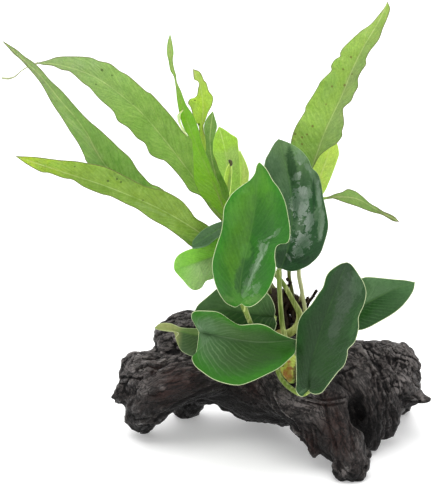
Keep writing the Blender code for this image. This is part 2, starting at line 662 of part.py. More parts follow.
creeping = rhizome("fern_rhizome", FERN_RHIZOME, fern_rhizome, wood_cutter)
root_points = smooth_path([place(*point) for point in ROOT_PATH], ROOT_POINTS - 1)
root_radii = [ROOT_RADIUS] * ROOT_POINTS
bare_root = as_mesh(tube("bare_root", root_points, root_radii, fern_rhizome))
boolean(creeping, bare_root, "UNION")
bpy.data.objects.remove(bare_root)
for frond_name, shape in FERN.items():
    frond_cells = WIDE_FROND_CELLS if shape.get("wide") else FROND_CELLS
    leaf_sheet("fern_frond_" + frond_name, shape, frond_cells, FROND_THICKNESS, fern_frond)
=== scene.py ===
import math

import bmesh
import bpy
import numpy as np
from mathutils import Matrix, Vector, kdtree, noise
from mathutils.bvhtree import BVHTree


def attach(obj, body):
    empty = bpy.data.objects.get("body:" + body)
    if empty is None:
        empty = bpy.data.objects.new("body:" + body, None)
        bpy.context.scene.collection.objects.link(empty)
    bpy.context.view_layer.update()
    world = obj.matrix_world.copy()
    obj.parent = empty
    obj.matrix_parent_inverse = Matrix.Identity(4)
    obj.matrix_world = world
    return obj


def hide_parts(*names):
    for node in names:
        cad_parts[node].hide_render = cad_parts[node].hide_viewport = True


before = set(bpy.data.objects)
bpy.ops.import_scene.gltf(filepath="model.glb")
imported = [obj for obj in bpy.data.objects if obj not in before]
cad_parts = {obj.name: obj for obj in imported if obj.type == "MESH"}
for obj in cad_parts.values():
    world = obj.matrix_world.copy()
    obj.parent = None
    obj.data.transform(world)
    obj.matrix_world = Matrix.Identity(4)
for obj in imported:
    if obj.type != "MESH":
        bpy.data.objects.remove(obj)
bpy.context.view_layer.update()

# The photograph's view. It ties a pixel, and how far back it lies in metres, to a place.
photoView = dict(
    pixel=0.0005,  # metres across on the upright plane through the origin
    middle=(217.5, 247.5),
    high=495,
    lookDown=math.radians(22),
    distance=1.2,
    across=-0.0041,
    aimHeight=0.1075,
)
lookForward = Vector((0, math.cos(photoView["lookDown"]), -math.sin(photoView["lookDown"])))
lookUp = Vector((0, math.sin(photoView["lookDown"]), math.cos(photoView["lookDown"])))
eye = Vector((photoView["across"], 0, photoView["aimHeight"])) - photoView["distance"] * lookForward


def rayAt(across, down):
    sideways = Vector((photoView["pixel"] * (across - photoView["middle"][0]), 0, 0))
    upwards = lookUp * (photoView["pixel"] * (photoView["middle"][1] - down))
    return lookForward * photoView["distance"] + sideways + upwards


def spotAt(across, down, back):
    ray = rayAt(across, down)
    return eye + ray * ((back - eye.y) / ray.y)


def smoothPath(points, count):
    # count + 1 points, evenly spaced along a smooth curve through the given ones
    known = np.array([tuple(point) for point in points], float)
    known = np.vstack([2 * known[0] - known[1], known, 2 * known[-1] - known[-2]])
    u = np.linspace(0, 1, 16, endpoint=False)[:, None]
    dense = []
    for before, start, finish, after in zip(known, known[1:], known[2:], known[3:]):
        dense.append(0.5 * (2 * start + (finish - before) * u
                            + (2 * before - 5 * start + 4 * finish - after) * u ** 2
                            + (3 * start - before - 3 * finish + after) * u ** 3))
    dense = np.vstack(dense + [known[-2:-1]])
    walked = np.concatenate([[0], np.cumsum(np.linalg.norm(np.diff(dense, axis=0), axis=1))])
    wanted = np.linspace(0, walked[-1], count + 1)
    columns = [np.interp(wanted, walked, dense[:, axis]) for axis in range(dense.shape[1])]
    return np.stack(columns, axis=1)


def meshFrom(source):
    # the plain mesh that an object's modifiers make
    bpy.context.view_layer.update()
    graph = bpy.context.evaluated_depsgraph_get()
    return bpy.data.meshes.new_from_object(source.evaluated_get(graph))


def newPiece(name, mesh):
    piece = bpy.data.objects.new(name, mesh)
    bpy.context.scene.collection.objects.link(piece)
    return piece


def standIn(piece, slot, *nodes):
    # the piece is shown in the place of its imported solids
    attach(piece, "root")
    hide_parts(*nodes)


# Helpers for node trees

def sendTo(tree, node, inputs):
    # each input is given a value, or a socket that is linked to it
    for key, value in inputs.items():
        socket = node.inputs[key]
        if isinstance(value, bpy.types.NodeSocket):
            tree.links.new(value, socket)
        else:
            socket.default_value = value


def addNode(tree, kind, inputs=None, **settings):
    node = tree.nodes.new(kind)
    for key, value in settings.items():
        setattr(node, key, value)
    sendTo(tree, node, inputs or {})
    return node


def calc(tree, operation, first, second=0.0, third=0.0, clamp=False):
    node = addNode(tree, "ShaderNodeMath", operation=operation, use_clamp=clamp)
    sendTo(tree, node, {0: first, 1: second, 2: third})
    return node.outputs[0]


def rampTo(tree, value, low, high):
    # 0 below low and 1 above high, with a smooth step between them
    node = addNode(tree, "ShaderNodeMapRange", interpolation_type="SMOOTHSTEP")
    sendTo(tree, node, {"Value": value, "From Min": low, "From Max": high, "To Min": 0.0, "To Max": 1.0})
    return node.outputs["Result"]


def times(tree, first, second):
    return calc(tree, "MULTIPLY", first, second)


def opposite(tree, value):
    return calc(tree, "SUBTRACT", 1.0, value)


def noiseAt(tree, place, scale, detail=2.0, roughness=0.5, distortion=0.0):
    return addNode(tree, "ShaderNodeTexNoise",
                   {"Vector": place, "Scale": scale, "Detail": detail, "Roughness": roughness,
                    "Distortion": distortion}).outputs["Fac"]


def attributeAt(tree, label):
    return addNode(tree, "ShaderNodeAttribute", attribute_name=label).outputs["Fac"]


def objectPlace(tree):
    return addNode(tree, "ShaderNodeTexCoord").outputs["Object"]


def onScreen(red, green, blue):
    # a colour as a screen shows it, from 0 to 255, as linear light
    return tuple(((value / 255 + 0.055) / 1.055) ** 2.4 for value in (red, green, blue))


def mixColour(tree, share, first, second, blend="MIX"):
    node = addNode(tree, "ShaderNodeMix", data_type="RGBA", blend_type=blend)
    for key, value in (("Factor_Float", share), ("A_Color", first), ("B_Color", second)):
        socket = next(socket for socket in node.inputs if socket.identifier == key)
        if isinstance(value, bpy.types.NodeSocket):
            tree.links.new(value, socket)
        else:
            socket.default_value = (*value, 1) if isinstance(value, tuple) else value
    return next(socket for socket in node.outputs if socket.identifier == "Result_Color")


def tint(tree, colour, mask, tone, share=None):
    # the colour, turned to a screen tone where the mask is 1, or by a share of that
    if share is not None:
        mask = times(tree, mask, share)
    return mixColour(tree, mask, colour, onScreen(*tone))


def layered(tree, colour, *layers):
    # tints over a colour, one after another: the mask, the screen tone and its share
    for mask, tone, share in layers:
        colour = tint(tree, colour, mask, tone, share)
    return colour


def roughen(tree, shader, height, strength, distance):
    bump = addNode(tree, "ShaderNodeBump", {"Height": height, "Strength": strength, "Distance": distance})
    tree.links.new(bump.outputs["Normal"], shader.inputs["Normal"])


def newGroup(name, kind, inputs, outputs):
    # a node group with named inputs and their values, and named outputs
    tree = bpy.data.node_groups.new(name, kind)
    for label, value in inputs.items():
        sort = value if isinstance(value, str) else "Int" if isinstance(value, int) else "Float"
        socket = tree.interface.new_socket(label, in_out="INPUT", socket_type="NodeSocket" + sort)
        if not isinstance(value, str):
            socket.default_value = value
    for label, sort in outputs.items():
        tree.interface.new_socket(label, in_out="OUTPUT", socket_type="NodeSocket" + sort)
    return tree, tree.nodes.new("NodeGroupInput").outputs, tree.nodes.new("NodeGroupOutput").inputs


def placeGroup(tree, group, inputs):
    return addNode(tree, "ShaderNodeGroup", inputs, node_tree=group).outputs


def newMaterial(name, **plain):
    # a Principled material; its plain values are the shader's own sockets
    made = bpy.data.materials.new(name)
    made.use_nodes = True
    shader = made.node_tree.nodes["Principled BSDF"]
    sendTo(made.node_tree, shader, plain)
    return made, made.node_tree, shader


# Shader groups that several materials use

def buildSoftPatches():
    # soft uneven patches on the object's own coordinates, from 0 to 1
    tree, given, wanted = newGroup("softPatches", "ShaderNodeTree",
                                   {"Size": 0.01, "Contrast": 1.0, "Shift": 0.0}, {"Mask": "Float"})
    scale = calc(tree, "DIVIDE", 1.0, given["Size"])
    spread = addNode(tree, "ShaderNodeTexNoise",
                     {"W": given["Shift"], "Vector": objectPlace(tree), "Scale": scale,
                      "Detail": 4.0, "Roughness": 0.6}, noise_dimensions="4D")
    centred = calc(tree, "SUBTRACT", spread.outputs["Fac"], 0.5)
    raised = calc(tree, "MULTIPLY_ADD", centred, given["Contrast"], 0.5, clamp=True)
    tree.links.new(raised, wanted["Mask"])
    return tree


def buildLeafLines():
    # a leaf's lines from its own map and its distances in millimetres: rib, side veins, fibres, margin
    tree, given, wanted = newGroup(
        "leafLines", "ShaderNodeTree",
        {"Vein Count": 16.0, "Vein Lean": 0.35, "Vein Width": 0.2, "Rib Width": 0.5, "Margin Width": 0.5,
         "Wobble": 0.02, "Fibre Length": 4.0},
        dict.fromkeys(("Rib", "Veins", "Fibres", "Margin", "Side", "Across", "Along"), "Float"))
    flat = addNode(tree, "ShaderNodeUVMap", uv_map="leafMap").outputs["UV"]
    axes = addNode(tree, "ShaderNodeSeparateXYZ", {"Vector": flat}).outputs
    side = calc(tree, "MULTIPLY_ADD", axes["X"], 2.0, -1.0)
    across = calc(tree, "ABSOLUTE", side)
    along = axes["Y"]
    wave = noiseAt(tree, flat, 7.0, 3.0)
    bend = times(tree, calc(tree, "SUBTRACT", wave, 0.5), given["Wobble"])
    lean = times(tree, calc(tree, "POWER", across, 0.8), given["Vein Lean"])
    phase = times(tree, calc(tree, "ADD", calc(tree, "SUBTRACT", along, lean), bend), given["Vein Count"])
    cycle = calc(tree, "FRACT", calc(tree, "ADD", phase, 40.0))
    saw = calc(tree, "ABSOLUTE", calc(tree, "SUBTRACT", cycle, 0.5))
    veins = opposite(tree, rampTo(tree, saw, 0.0, given["Vein Width"]))
    ends = times(tree, rampTo(tree, across, 0.03, 0.12), opposite(tree, rampTo(tree, across, 0.7, 0.97)))
    tree.links.new(times(tree, veins, ends), wanted["Veins"])
    lengthwise = times(tree, side, given["Fibre Length"])
    strand = addNode(tree, "ShaderNodeCombineXYZ", {"X": times(tree, phase, 2.0), "Y": lengthwise})
    fibres = noiseAt(tree, strand.outputs["Vector"], 1.0, 4.0, 0.7)
    tree.links.new(rampTo(tree, fibres, 0.3, 0.7), wanted["Fibres"])
    for distance, wide, inner, mask in (("ribAway", "Rib Width", 0.3, "Rib"),
                                        ("inset", "Margin Width", 0.4, "Margin")):
        beyond = rampTo(tree, attributeAt(tree, distance), times(tree, given[wide], inner), given[wide])
        tree.links.new(opposite(tree, beyond), wanted[mask])
    tree.links.new(rampTo(tree, side, -0.12, 0.12), wanted["Side"])
    tree.links.new(across, wanted["Across"])
    tree.links.new(along, wanted["Along"])
    return tree


softPatches = buildSoftPatches()
leafLines = buildLeafLines()


def patchesAt(tree, size, contrast, shift):
    return placeGroup(tree, softPatches, {"Size": size, "Contrast": contrast, "Shift": shift})["Mask"]


def mottled(name, patches, first, second, bump=None, **plain):
    # a material of two screen tones; patches: size, contrast and shift; bump: strength and distance
    made, tree, shader = newMaterial(name, **plain)
    mask = patchesAt(tree, *patches)
    tree.links.new(tint(tree, onScreen(*first), mask, second), shader.inputs["Base Color"])
    if bump:
        roughen(tree, shader, mask, *bump)
    return made


def endTree(tree, geometry, finish, wanted):
    # what every Geometry Nodes tree here ends in
    real = addNode(tree, "GeometryNodeRealizeInstances", {"Geometry": geometry})
    dressed = addNode(tree, "GeometryNodeSetMaterial",
                      {"Geometry": real.outputs["Geometry"], "Material": finish})
    tree.links.new(dressed.outputs["Geometry"], wanted)
    return tree


def buildStemTree():
    # for every stem, stalk, rib and root: it follows a curve and its radii
    tree, given, wanted = newGroup(
        "stemAlongCurve", "GeometryNodeTree",
        {"Geometry": "Geometry", "Sides": 12, "Lump Height": 0.0001, "Lump Size": 0.004,
         "Finish": "Material"},
        {"Geometry": "Geometry"})
    share = addNode(tree, "GeometryNodeSplineParameter").outputs["Factor"]
    stored = addNode(tree, "GeometryNodeStoreNamedAttribute",
                     {"Geometry": given["Geometry"], "Name": "along", "Value": share}, data_type="FLOAT",
                     domain="POINT")
    ring = addNode(tree, "GeometryNodeCurvePrimitiveCircle", {"Resolution": given["Sides"], "Radius": 1.0})
    thickness = addNode(tree, "GeometryNodeInputRadius").outputs["Radius"]
    skin = addNode(tree, "GeometryNodeCurveToMesh",
                   {"Curve": stored.outputs["Geometry"], "Profile Curve": ring.outputs["Curve"],
                    "Scale": thickness, "Fill Caps": True})
    lumps = addNode(tree, "ShaderNodeTexNoise",
                    {"Scale": calc(tree, "DIVIDE", 1.0, given["Lump Size"]), "Detail": 2.0})
    rise = times(tree, calc(tree, "SUBTRACT", lumps.outputs["Fac"], 0.5), given["Lump Height"])
    normal = addNode(tree, "GeometryNodeInputNormal").outputs["Normal"]
    outwards = addNode(tree, "ShaderNodeVectorMath", {0: normal, "Scale": rise}, operation="SCALE").outputs[0]
    moved = addNode(tree, "GeometryNodeSetPosition", {"Geometry": skin.outputs["Mesh"], "Offset": outwards})
    smooth = addNode(tree, "GeometryNodeSetShadeSmooth", {"Geometry": moved.outputs["Geometry"]})
    return endTree(tree, smooth.outputs["Geometry"], given["Finish"], wanted["Geometry"])


def runTree(piece, tree, values):
    # the mesh that a Geometry Nodes tree makes of a piece; inputs are found by their name
    sockets = {item.name: item.identifier for item in tree.interface.items_tree
               if item.item_type == "SOCKET" and item.in_out == "INPUT"}
    modifier = piece.modifiers.new(tree.name, "NODES")
    modifier.node_group = tree
    for label, value in values.items():
        modifier[sockets[label]] = value
    made = meshFrom(piece)
    piece.modifiers.remove(modifier)
    return made


stemAlongCurve = buildStemTree()


def stemMesh(points, radii, finish, sides=12, lumpHeight=0.0001, lumpSize=0.004):
    # a round stem through the points, in metres, with one radius for each
    curve = bpy.data.curves.new("route", "CURVE")
    curve.dimensions = "3D"
    spline = curve.splines.new("POLY")
    spline.points.add(len(points) - 1)
    for control, point, radius in zip(spline.points, points, radii):
        control.co = (*point, 1)
        control.radius = radius
    route = newPiece("route", curve)
    made = runTree(route, stemAlongCurve,
                   {"Sides": sides, "Lump Height": lumpHeight, "Lump Size": lumpSize, "Finish": finish})
    bpy.data.objects.remove(route)
    return made


def joinMeshes(name, parts):
    # one mesh of several, which keeps their materials and attributes
    pieces = [newPiece(name, part) for part in parts]
    with bpy.context.temp_override(active_object=pieces[0], selected_editable_objects=pieces):
        bpy.ops.object.join()
    return pieces[0]


# Leaves and fronds: each is a sheet bent to its rib and its two edges

sheetForm = dict(
    anubiasCells=(14, 110), anubiasThickness=0.00055,
    fernCells=(8, 130), fernThickness=0.0004,
    crowding=1.3,  # how much closer the cells stand at the margin
    bulgeWidth=0.012, reliefWidth=0.006,  # narrower than this, a blade flattens out
)


def bulgeAt(leaf, width, share):
    # how far half a blade stands out between its rib, share 0, and its edge, share 1
    fullness = min(1.0, width / sheetForm["bulgeWidth"]) ** 2
    return fullness * 4 * share * (1 - share) * leaf["crown"]


def leafRows(leaf, rows):
    # the rib and both edges, as matching rows of pixels across, pixels down and metres back
    edges = []
    for side in ("left", "right"):
        outline = [leaf["rib"][0][:2], *leaf[side], leaf["rib"][-1][:2]]
        edges.append(smoothPath(outline, rows).tolist())
    return smoothPath(leaf["rib"], rows).tolist(), edges


def leafSheet(name, leaf, cells, thickness, finish, relief):
    # relief(u, v, spot) is how far a point stands towards the viewer, in metres
    cellsAcross, rows = cells
    rib, edges = leafRows(leaf, rows)
    spots, flat, ribAway, inset = [], [], [], []
    crowding = sheetForm["crowding"]
    shares = [math.sin(crowding * cell / cellsAcross) / math.sin(crowding)
              for cell in range(-cellsAcross, cellsAcross + 1)]
    for row in range(rows + 1):
        v = row / rows
        for u in shares:
            edge = edges[0 if u < 0 else 1][row]
            slope = leaf["slope"][0 if u < 0 else 1]
            width = math.dist(edge, rib[row][:2]) * photoView["pixel"]
            across = rib[row][0] + abs(u) * (edge[0] - rib[row][0])
            down = rib[row][1] + abs(u) * (edge[1] - rib[row][1])
            spot = spotAt(across, down, rib[row][2] + slope * width * abs(u) - bulgeAt(leaf, width, abs(u)))
            fullness = min(1.0, width / sheetForm["reliefWidth"])
            back = -relief(u, v, spot) * fullness
            spots.append(spot + rayAt(across, down).normalized() * back)
            flat.append(((u + 1) / 2, v))
            ribAway.append(1000 * width * abs(u))
            inset.append(1000 * width * (1 - abs(u)))
    across = 2 * cellsAcross + 1
    firsts = [row * across + cell for row in range(rows) for cell in range(across - 1)]
    corners = [(first, first + 1, first + across + 1, first + across) for first in firsts]
    mesh = bpy.data.meshes.new(name)
    mesh.from_pydata(spots, [], corners)
    layer = mesh.uv_layers.new(name="leafMap")
    for loop in mesh.loops:
        layer.data[loop.index].uv = flat[loop.vertex_index]
    for label, values in (("ribAway", ribAway), ("inset", inset)):
        mesh.attributes.new(label, "FLOAT", "POINT").data.foreach_set("value", values)
    mesh.shade_smooth()
    mesh.materials.append(finish)
    sheet = newPiece(name, mesh)
    thick = sheet.modifiers.new("Thickness", "SOLIDIFY")
    thick.thickness = thickness
    thick.offset = 0
    made = meshFrom(sheet)
    bpy.data.objects.remove(sheet)
    return made


def marginWave(seed, u, v, height, count):
    # uneven waves that grow towards the margin
    side = 17.0 if u < 0 else 3.0
    return height * abs(u) ** 1.7 * noise.noise(Vector((v * count, side, seed))) * 2


def backAt(leaf, across, down):
    # how far back the blade lies at a pixel, in metres
    rib, edges = leafRows(leaf, 60)
    best = (1e9, 0.0)
    for side, edge in enumerate(edges):
        for middle, end in zip(rib, edge):
            run = (end[0] - middle[0], end[1] - middle[1])
            reach = run[0] ** 2 + run[1] ** 2 + 1e-9
            share = min(1.0, max(0.0, ((across - middle[0]) * run[0] + (down - middle[1]) * run[1]) / reach))
            away = math.dist((across, down), (middle[0] + share * run[0], middle[1] + share * run[1]))
            width = math.sqrt(reach) * photoView["pixel"]
            back = middle[2] + leaf["slope"][side] * width * share - bulgeAt(leaf, width, share)
            best = min(best, (away, back))
    return best[1]


tornEdges = dict(
    patchSize=0.0012, patchTear=0.9,
    markDeep=0.02, shredFiner=4.2, shredShare=0.45,
)


def awayFrom(tree, place, spot, wide, high, deep, lean=0.0):
    # the distance from a place, 1 at half width and half height in pixels and at a depth in metres
    scale = (wide * photoView["pixel"], deep, high * photoView["pixel"])
    laid = addNode(tree, "ShaderNodeMapping",
                   {"Vector": place, "Location": spot, "Rotation": (0, math.radians(lean), 0),
                    "Scale": scale},
                   vector_type="TEXTURE").outputs["Vector"]
    return addNode(tree, "ShaderNodeVectorMath", {0: laid}, operation="LENGTH").outputs["Value"]


def spotPatch(tree, spot, wide, high, deep=0.012):
    # a soft ragged patch round one place, its half width and half height in pixels
    place = objectPlace(tree)
    torn = noiseAt(tree, place, 1 / tornEdges["patchSize"], 3.0)
    away = awayFrom(tree, place, spotAt(*spot), wide, high, deep)
    return opposite(tree,
                    rampTo(tree, calc(tree, "MULTIPLY_ADD", torn, tornEdges["patchTear"], away), 1.0, 1.5))


def markMask(tree, leaf, marks, ragged, size=0.004):
    # ovals on the blade with torn edges: pixels across and down, half width, half height, lean to the right
    place = objectPlace(tree)
    shred = calc(tree, "SUBTRACT", noiseAt(tree, place, tornEdges["shredFiner"] / size, 3.0, 0.6), 0.5)
    torn = calc(tree, "MULTIPLY_ADD", shred, tornEdges["shredShare"],
                noiseAt(tree, place, 1 / size, 3.0, 0.55, 0.8))
    edge = calc(tree, "MULTIPLY_ADD", torn, ragged, -ragged / 2)
    total = None
    for across, down, wide, high, lean in marks:
        spot = spotAt(across, down, backAt(leaf, across, down))
        away = awayFrom(tree, place, spot, wide, high, tornEdges["markDeep"], lean)
        oval = opposite(tree, rampTo(tree, calc(tree, "ADD", away, edge), 0.55, 1.15))
        total = oval if total is None else calc(tree, "MAXIMUM", total, oval)
    return total


def leafFinish(name, leaf, look):
    # a blade's material; look gives its own colours, partly painted light and shade, its gloss, patches,
    # marks and lines
    made, tree, shader = newMaterial(name, **{
        "Specular IOR Level": 0.16, "Coat Roughness": 0.16, "Coat IOR": 1.5,
        "Subsurface Weight": look["through"], "Subsurface Radius": (0.5, 1.0, 0.25),
        "Subsurface Scale": 0.0012, "Emission Strength": look.get("glow", 0.0)})
    lines = placeGroup(tree, leafLines, {label: look[key] for label, key in (
        ("Vein Count", "veins"), ("Vein Lean", "lean"), ("Vein Width", "veinWidth"),
        ("Rib Width", "ribWidth"), ("Margin Width", "marginWidth"), ("Wobble", "wobble"),
        ("Fibre Length", "fibreLength"))})
    broad = patchesAt(tree, look["patchSize"], 2.2, look["seed"])
    other = patchesAt(tree, look["patchSize"] * 0.6, 2.6, look["seed"] + 9)
    fine = patchesAt(tree, look["fineSize"], 1.9, look["seed"] + 5)
    # one colour for each half: where they differ, one half is painted lighter as if lit and the other darker
    # as if shaded
    colour = tint(tree, onScreen(*look["left"]), lines["Side"], look["right"])
    if "tip" in look:
        start, finish = look.get("tipFrom", (0.5, 1.0))
        colour = tint(tree, colour, rampTo(tree, lines["Along"], start, finish), look["tip"])
    if "foot" in look:
        start, finish = look.get("footTo", (0.0, 0.3))
        colour = mixColour(tree, rampTo(tree, lines["Along"], start, finish), onScreen(*look["foot"]), colour)
    if "edge" in look:
        colour = tint(tree, colour, rampTo(tree, lines["Across"], 0.45, 1.0), look["edge"])
    for tone, strength, ragged, *marks in look.get("tints", ()):
        colour = tint(tree, colour, markMask(tree, leaf, marks, ragged), tone, strength)
    colour = tint(tree, colour, broad, look["patch"], look["patchStrength"])
    if "second" in look:
        colour = tint(tree, colour, other, look["second"], look["secondStrength"])
    for mask, depth, greener in ((fine, look["fineDepth"], 0.8), (lines["Fibres"], look["fibreDepth"], 0.75)):
        deeper = (1 - depth, 1 - greener * depth, 1 - depth)
        colour = mixColour(tree, mask, mixColour(tree, 1.0, colour, deeper, blend="MULTIPLY"), colour)
    fading = rampTo(tree, lines["Along"], look.get("veinsTo", 1.4), look.get("veinsFrom", 0.0))
    veins = times(tree, times(tree, lines["Veins"], look["veinStrength"]), fading)
    ribShare = times(tree, look["ribStrength"], calc(tree, "MULTIPLY_ADD", other, 1.2, 0.3))
    colour = layered(tree, colour, (veins, look["vein"], calc(tree, "MULTIPLY_ADD", other, 0.8, 0.3)),
                     (lines["Rib"], look["rib"], ribShare))
    if "dots" in look:
        dots = markMask(tree, leaf, [(across, down, size, size, 0) for across, down, size in look["dots"]],
                        0.6, 0.001)
        colour = tint(tree, colour, dots, look["dotColour"], 0.8)
    # the glossy patches: their mask drives the coat gloss, and a grey painted sheen, broken up along the
    # fibres, is tinted into the colour
    wet = None
    if "wet" in look:
        wet = rampTo(tree, markMask(tree, leaf, look["wet"], look["wetTorn"], look["wetSize"]), 0.35, 0.55)
        paintedSheenBreakup = calc(tree, "MULTIPLY_ADD", lines["Fibres"], 0.5, 0.5)
        colour = tint(tree, colour, times(tree, wet, paintedSheenBreakup), look["wetColour"], look["wetStrength"])
    rim = times(tree, lines["Margin"], calc(tree, "MULTIPLY_ADD", other, 0.6, look["marginStrength"] - 0.3))
    colour = tint(tree, colour, rim, look["margin"])
    tree.links.new(colour, shader.inputs["Base Color"])
    if "glow" in look:  # painted glow: the blade emits its colour, standing in for light that comes through a thin young blade
        tree.links.new(colour, shader.inputs["Emission Color"])
    rough = calc(tree, "MULTIPLY_ADD", fine, 0.16, look["roughness"] - 0.08)
    if wet:
        tree.links.new(times(tree, wet, look["wetGloss"]), shader.inputs["Coat Weight"])
    tree.links.new(rough, shader.inputs["Roughness"])
    height = calc(tree, "MULTIPLY_ADD", lines["Veins"], -look["veinDepth"], times(tree, fine, look["grain"]))
    height = calc(tree, "MULTIPLY_ADD", lines["Fibres"], look["fibreHeight"], height)
    roughen(tree, shader, height, look["bump"], 0.0003)
    return made


# Anubias
# rib: pixels across, pixels down and metres back, from the stem to the tip. left, right: the
# edges in pixels, as one sees them who looks from the stem to the tip. slope: how each half
# leans back for each metre across. crown: how far each half bulges out. stem: its way, from
# the rhizome to the blade.

